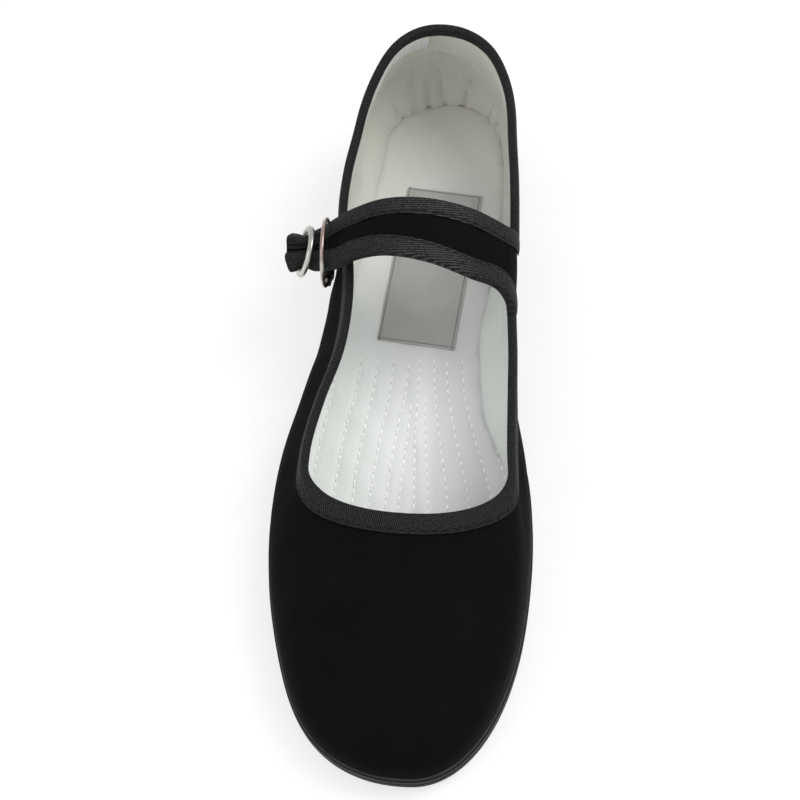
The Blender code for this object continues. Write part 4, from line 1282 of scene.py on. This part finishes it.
def thread_finish(name, low, high, rough):
    mat = Finish(name, rough, sheen=0.05, specular=0.4)
    twist = mat.noise(5200.0, 2.0)
    return mat.done(mat.blend(mat.span(twist, 0.3, 0.7), low, high), mat.bump(twist, 0.00008, 0.6))


def rubber_finish(name, low, high, rough_low, rough_high):
    mat = Finish(name, 0.55, specular=0.16)
    grain = mat.noise(1500.0, 4.0)
    dust = mat.noise(90.0, 4.0, 0.65)
    tone = mat.blend(mat.span(dust, 0.42, 0.72), low, high)
    tone = mat.blend(mat.span(grain, 0.5, 0.8, 0.0, 0.5), tone, high)
    turn = mat.times(mat.axis(mat.place, 2), 2 * math.pi / RUBBER_LINE_PITCH)
    ribbed = mat.bump(mat.maths("MULTIPLY_ADD", mat.maths("SINE", turn), 0.5, 0.5), 0.00008, 0.5)
    rough = mat.span(dust, 0.35, 0.7, rough_low, rough_high)
    return mat.done(tone, mat.bump(grain, 0.00010, 0.6, ribbed), rough)


def nickel_finish(name, dull, bright):
    mat = Finish(name, 0.3, metal=1.0)
    handled = mat.noise(120.0, 3.0, 0.5)
    fine = mat.bump(mat.noise(5200.0, 2.0), 0.00001, 0.2)
    tone = mat.blend(mat.span(handled, 0.42, 0.60), dull, bright)
    return mat.done(tone, fine, mat.span(handled, 0.3, 0.7, 0.26, 0.36))


def satin_finish():
    mat = Finish("grey_satin", 0.42, sheen=0.15, sheen_rough=0.3)
    weave = mat.times(mat.wave(mat.uv, 0.00034, 90.0), mat.wave(mat.uv, 0.00090, 62.0))
    weave = mat.maths("MULTIPLY_ADD", weave, 0.7, 0.3)
    cloud = mat.noise(120.0)
    tone = mat.blend(weave, (0.320, 0.316, 0.306), (0.440, 0.434, 0.420))
    tone = mat.blend(mat.span(cloud, 0.4, 0.7, 0.0, 0.4), tone, (0.46, 0.455, 0.445))
    return mat.done(tone, mat.bump(weave, 0.00006, 0.6), mat.span(cloud, 0.3, 0.7, 0.36, 0.52))


def floor_finish():
    mat = Finish("paper", 0.9, specular=0.1)
    mat.put(mat.inputs["Emission Color"], (1.0, 1.0, 1.0))
    mat.put(mat.inputs["Emission Strength"], FLOOR_GLOW)
    return mat.done(mat.blend(mat.span(mat.noise(60.0), 0.3, 0.7), (0.36,) * 3, (0.38,) * 3))


# Stage, light and camera


def build_stage():
    size = 3.0
    mesh = bpy.data.meshes.new("floor")
    corners = [(-size, -size, 0.0), (size, -size, 0.0), (size, size, 0.0), (-size, size, 0.0)]
    mesh.from_pydata(corners, [], [(0, 1, 2, 3)])
    mesh.materials.append(floor_finish())
    add("floor", mesh)


def add_light(name, place, size, power, colour):
    light = bpy.data.lights.new(name, "AREA")
    light.shape = "DISK"
    light.size = size
    light.energy = power
    light.color = colour
    made = add(name, light)
    made.location = place
    made.rotation_euler = (Vector(LIGHT_AIM) - Vector(place)).to_track_quat("-Z", "Y").to_euler()


def build_lights():
    world = bpy.data.worlds.new("studio")
    world.use_nodes = True
    background = world.node_tree.nodes["Background"]
    background.inputs[0].default_value = (1.0, 1.0, 1.0, 1.0)
    background.inputs[1].default_value = 0.92
    bpy.context.scene.world = world
    add_light("key", (0.80, 0.30, 1.10), 0.9, 10.0, (1.0, 0.99, 0.97))
    add_light("fill", (-0.9, -0.5, 0.9), 0.9, 4.0, (0.97, 0.98, 1.0))
    bpy.context.scene.view_settings.view_transform = "Standard"


def build_camera():
    """The photo's camera, turned sideways so that the one shoe stands in the middle."""
    data = bpy.data.cameras.new("camera")
    data.sensor_width = SENSOR * 1000
    data.lens = data.sensor_width * LENS_PIXELS / IMAGE_PIXELS
    made = add("camera", data)
    place = Vector(CAMERA_PLACE) + Vector(shift)
    photo_view = (Vector(PHOTO_AIM) + Vector(shift) - place).to_track_quat("-Z", "Y")
    sideways = Quaternion((0.0, 1.0, 0.0), math.atan(SHOE_OFF_CENTRE / LENS_PIXELS))
    made.location = place
    made.rotation_mode = "QUATERNION"
    made.rotation_quaternion = photo_view @ sideways
    bpy.context.scene.camera = made


# Scene
label_low, label_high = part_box("insole_label")
shift = np.array([(label_low[0] + label_high[0]) / 2 - LABEL_SHIFT, 0.0, 0.0])
RIDGE_X = shift[0] + RIDGE_SHIFT

velvet = velvet_finish()
# The strap's tapes and the ring's tab get the band of painted highlight and painted shade
grosgrain = grosgrain_finish("black_grosgrain", 0.058, 0.13)
collar_grosgrain = grosgrain_finish("collar_grosgrain", 0.036)
# The insole's cotton takes painted light left of its ridge, painted shade right of it, and painted shade
# towards the heel
cotton = woven_cotton(
    "white_cotton", (0.58, 0.57, 0.505), (0.74, 0.755, 0.755), 0.00042, 0.00004, 0.93,
    left=(0.83, 0.855, 0.835), right=(0.655, 0.640, 0.660),
)
# The lining, too, is painted darker towards the heel as shade
lining_cotton = woven_cotton(
    "lining_cotton", (0.555, 0.535, 0.475), (0.655, 0.690, 0.655), 0.00042, 0.00005, 0.92
)
white_tape = woven_cotton(
    "white_tape", (0.74, 0.75, 0.74), (0.72, 0.74, 0.74), 0.00095, 0.00030, 0.62, rib=True
)
white_thread = thread_finish("white_thread", (0.93, 0.93, 0.92), (0.98, 0.98, 0.98), 0.5)
# Grey for the beads that paint the shade in the insole's stitch holes
hole_shade_grey = thread_finish("hole_shade_grey", (0.52, 0.52, 0.51), (0.62, 0.62, 0.61), 0.8)
black_thread = thread_finish("black_thread", (0.0015, 0.0015, 0.0018), (0.0070, 0.0070, 0.0075), 0.6)
grey_thread = thread_finish("grey_thread", (0.09, 0.09, 0.09), (0.17, 0.17, 0.165), 0.6)
rubber = rubber_finish("black_rubber", (0.0036, 0.0036, 0.0040), (0.0085, 0.0085, 0.0085), 0.50, 0.66)
# The bead's grey paints the highlight along the sole's top edge
edge_highlight_rubber = rubber_finish("painted_edge_highlight", (0.020, 0.020, 0.021), (0.040, 0.040, 0.040), 0.45, 0.6)
nickel = nickel_finish("nickel", (0.40, 0.39, 0.37), (0.58, 0.57, 0.54))
worn_nickel = nickel_finish("worn_nickel", (0.30, 0.225, 0.205), (0.54, 0.51, 0.475))
satin = satin_finish()

ribs = rib_controls()
strap_centre, _, _, strap_half, _ = strap_frame(np.linspace(0, 1, STRAP_ROUNDS))
root_y = strap_centre[0, 1]
root_in = strap_half[0, 0] - COLLAR_TAPE_UNDER

build_outsole()
build_sole_bead()
build_upper_cloth()
insole_edge = build_lining()
build_lining_tape()
build_quilt_stitches(build_quilted_insole(insole_edge))
build_label()
build_strap_cloth()
sewn_lines = [
    build_collar_tape(topline_place(root_y + root_in), topline_place(root_y - root_in)),
    build_strap_tape("strap_tape_front", -1, "strap_binding_front"),
    build_strap_tape("strap_tape_rear", 1, "strap_binding_rear"),
    build_tab(build_rings()),
]
beads("tape_stitches", sewn_lines, "black_grosgrain", black_thread)
build_stage()
build_lights()
build_camera()
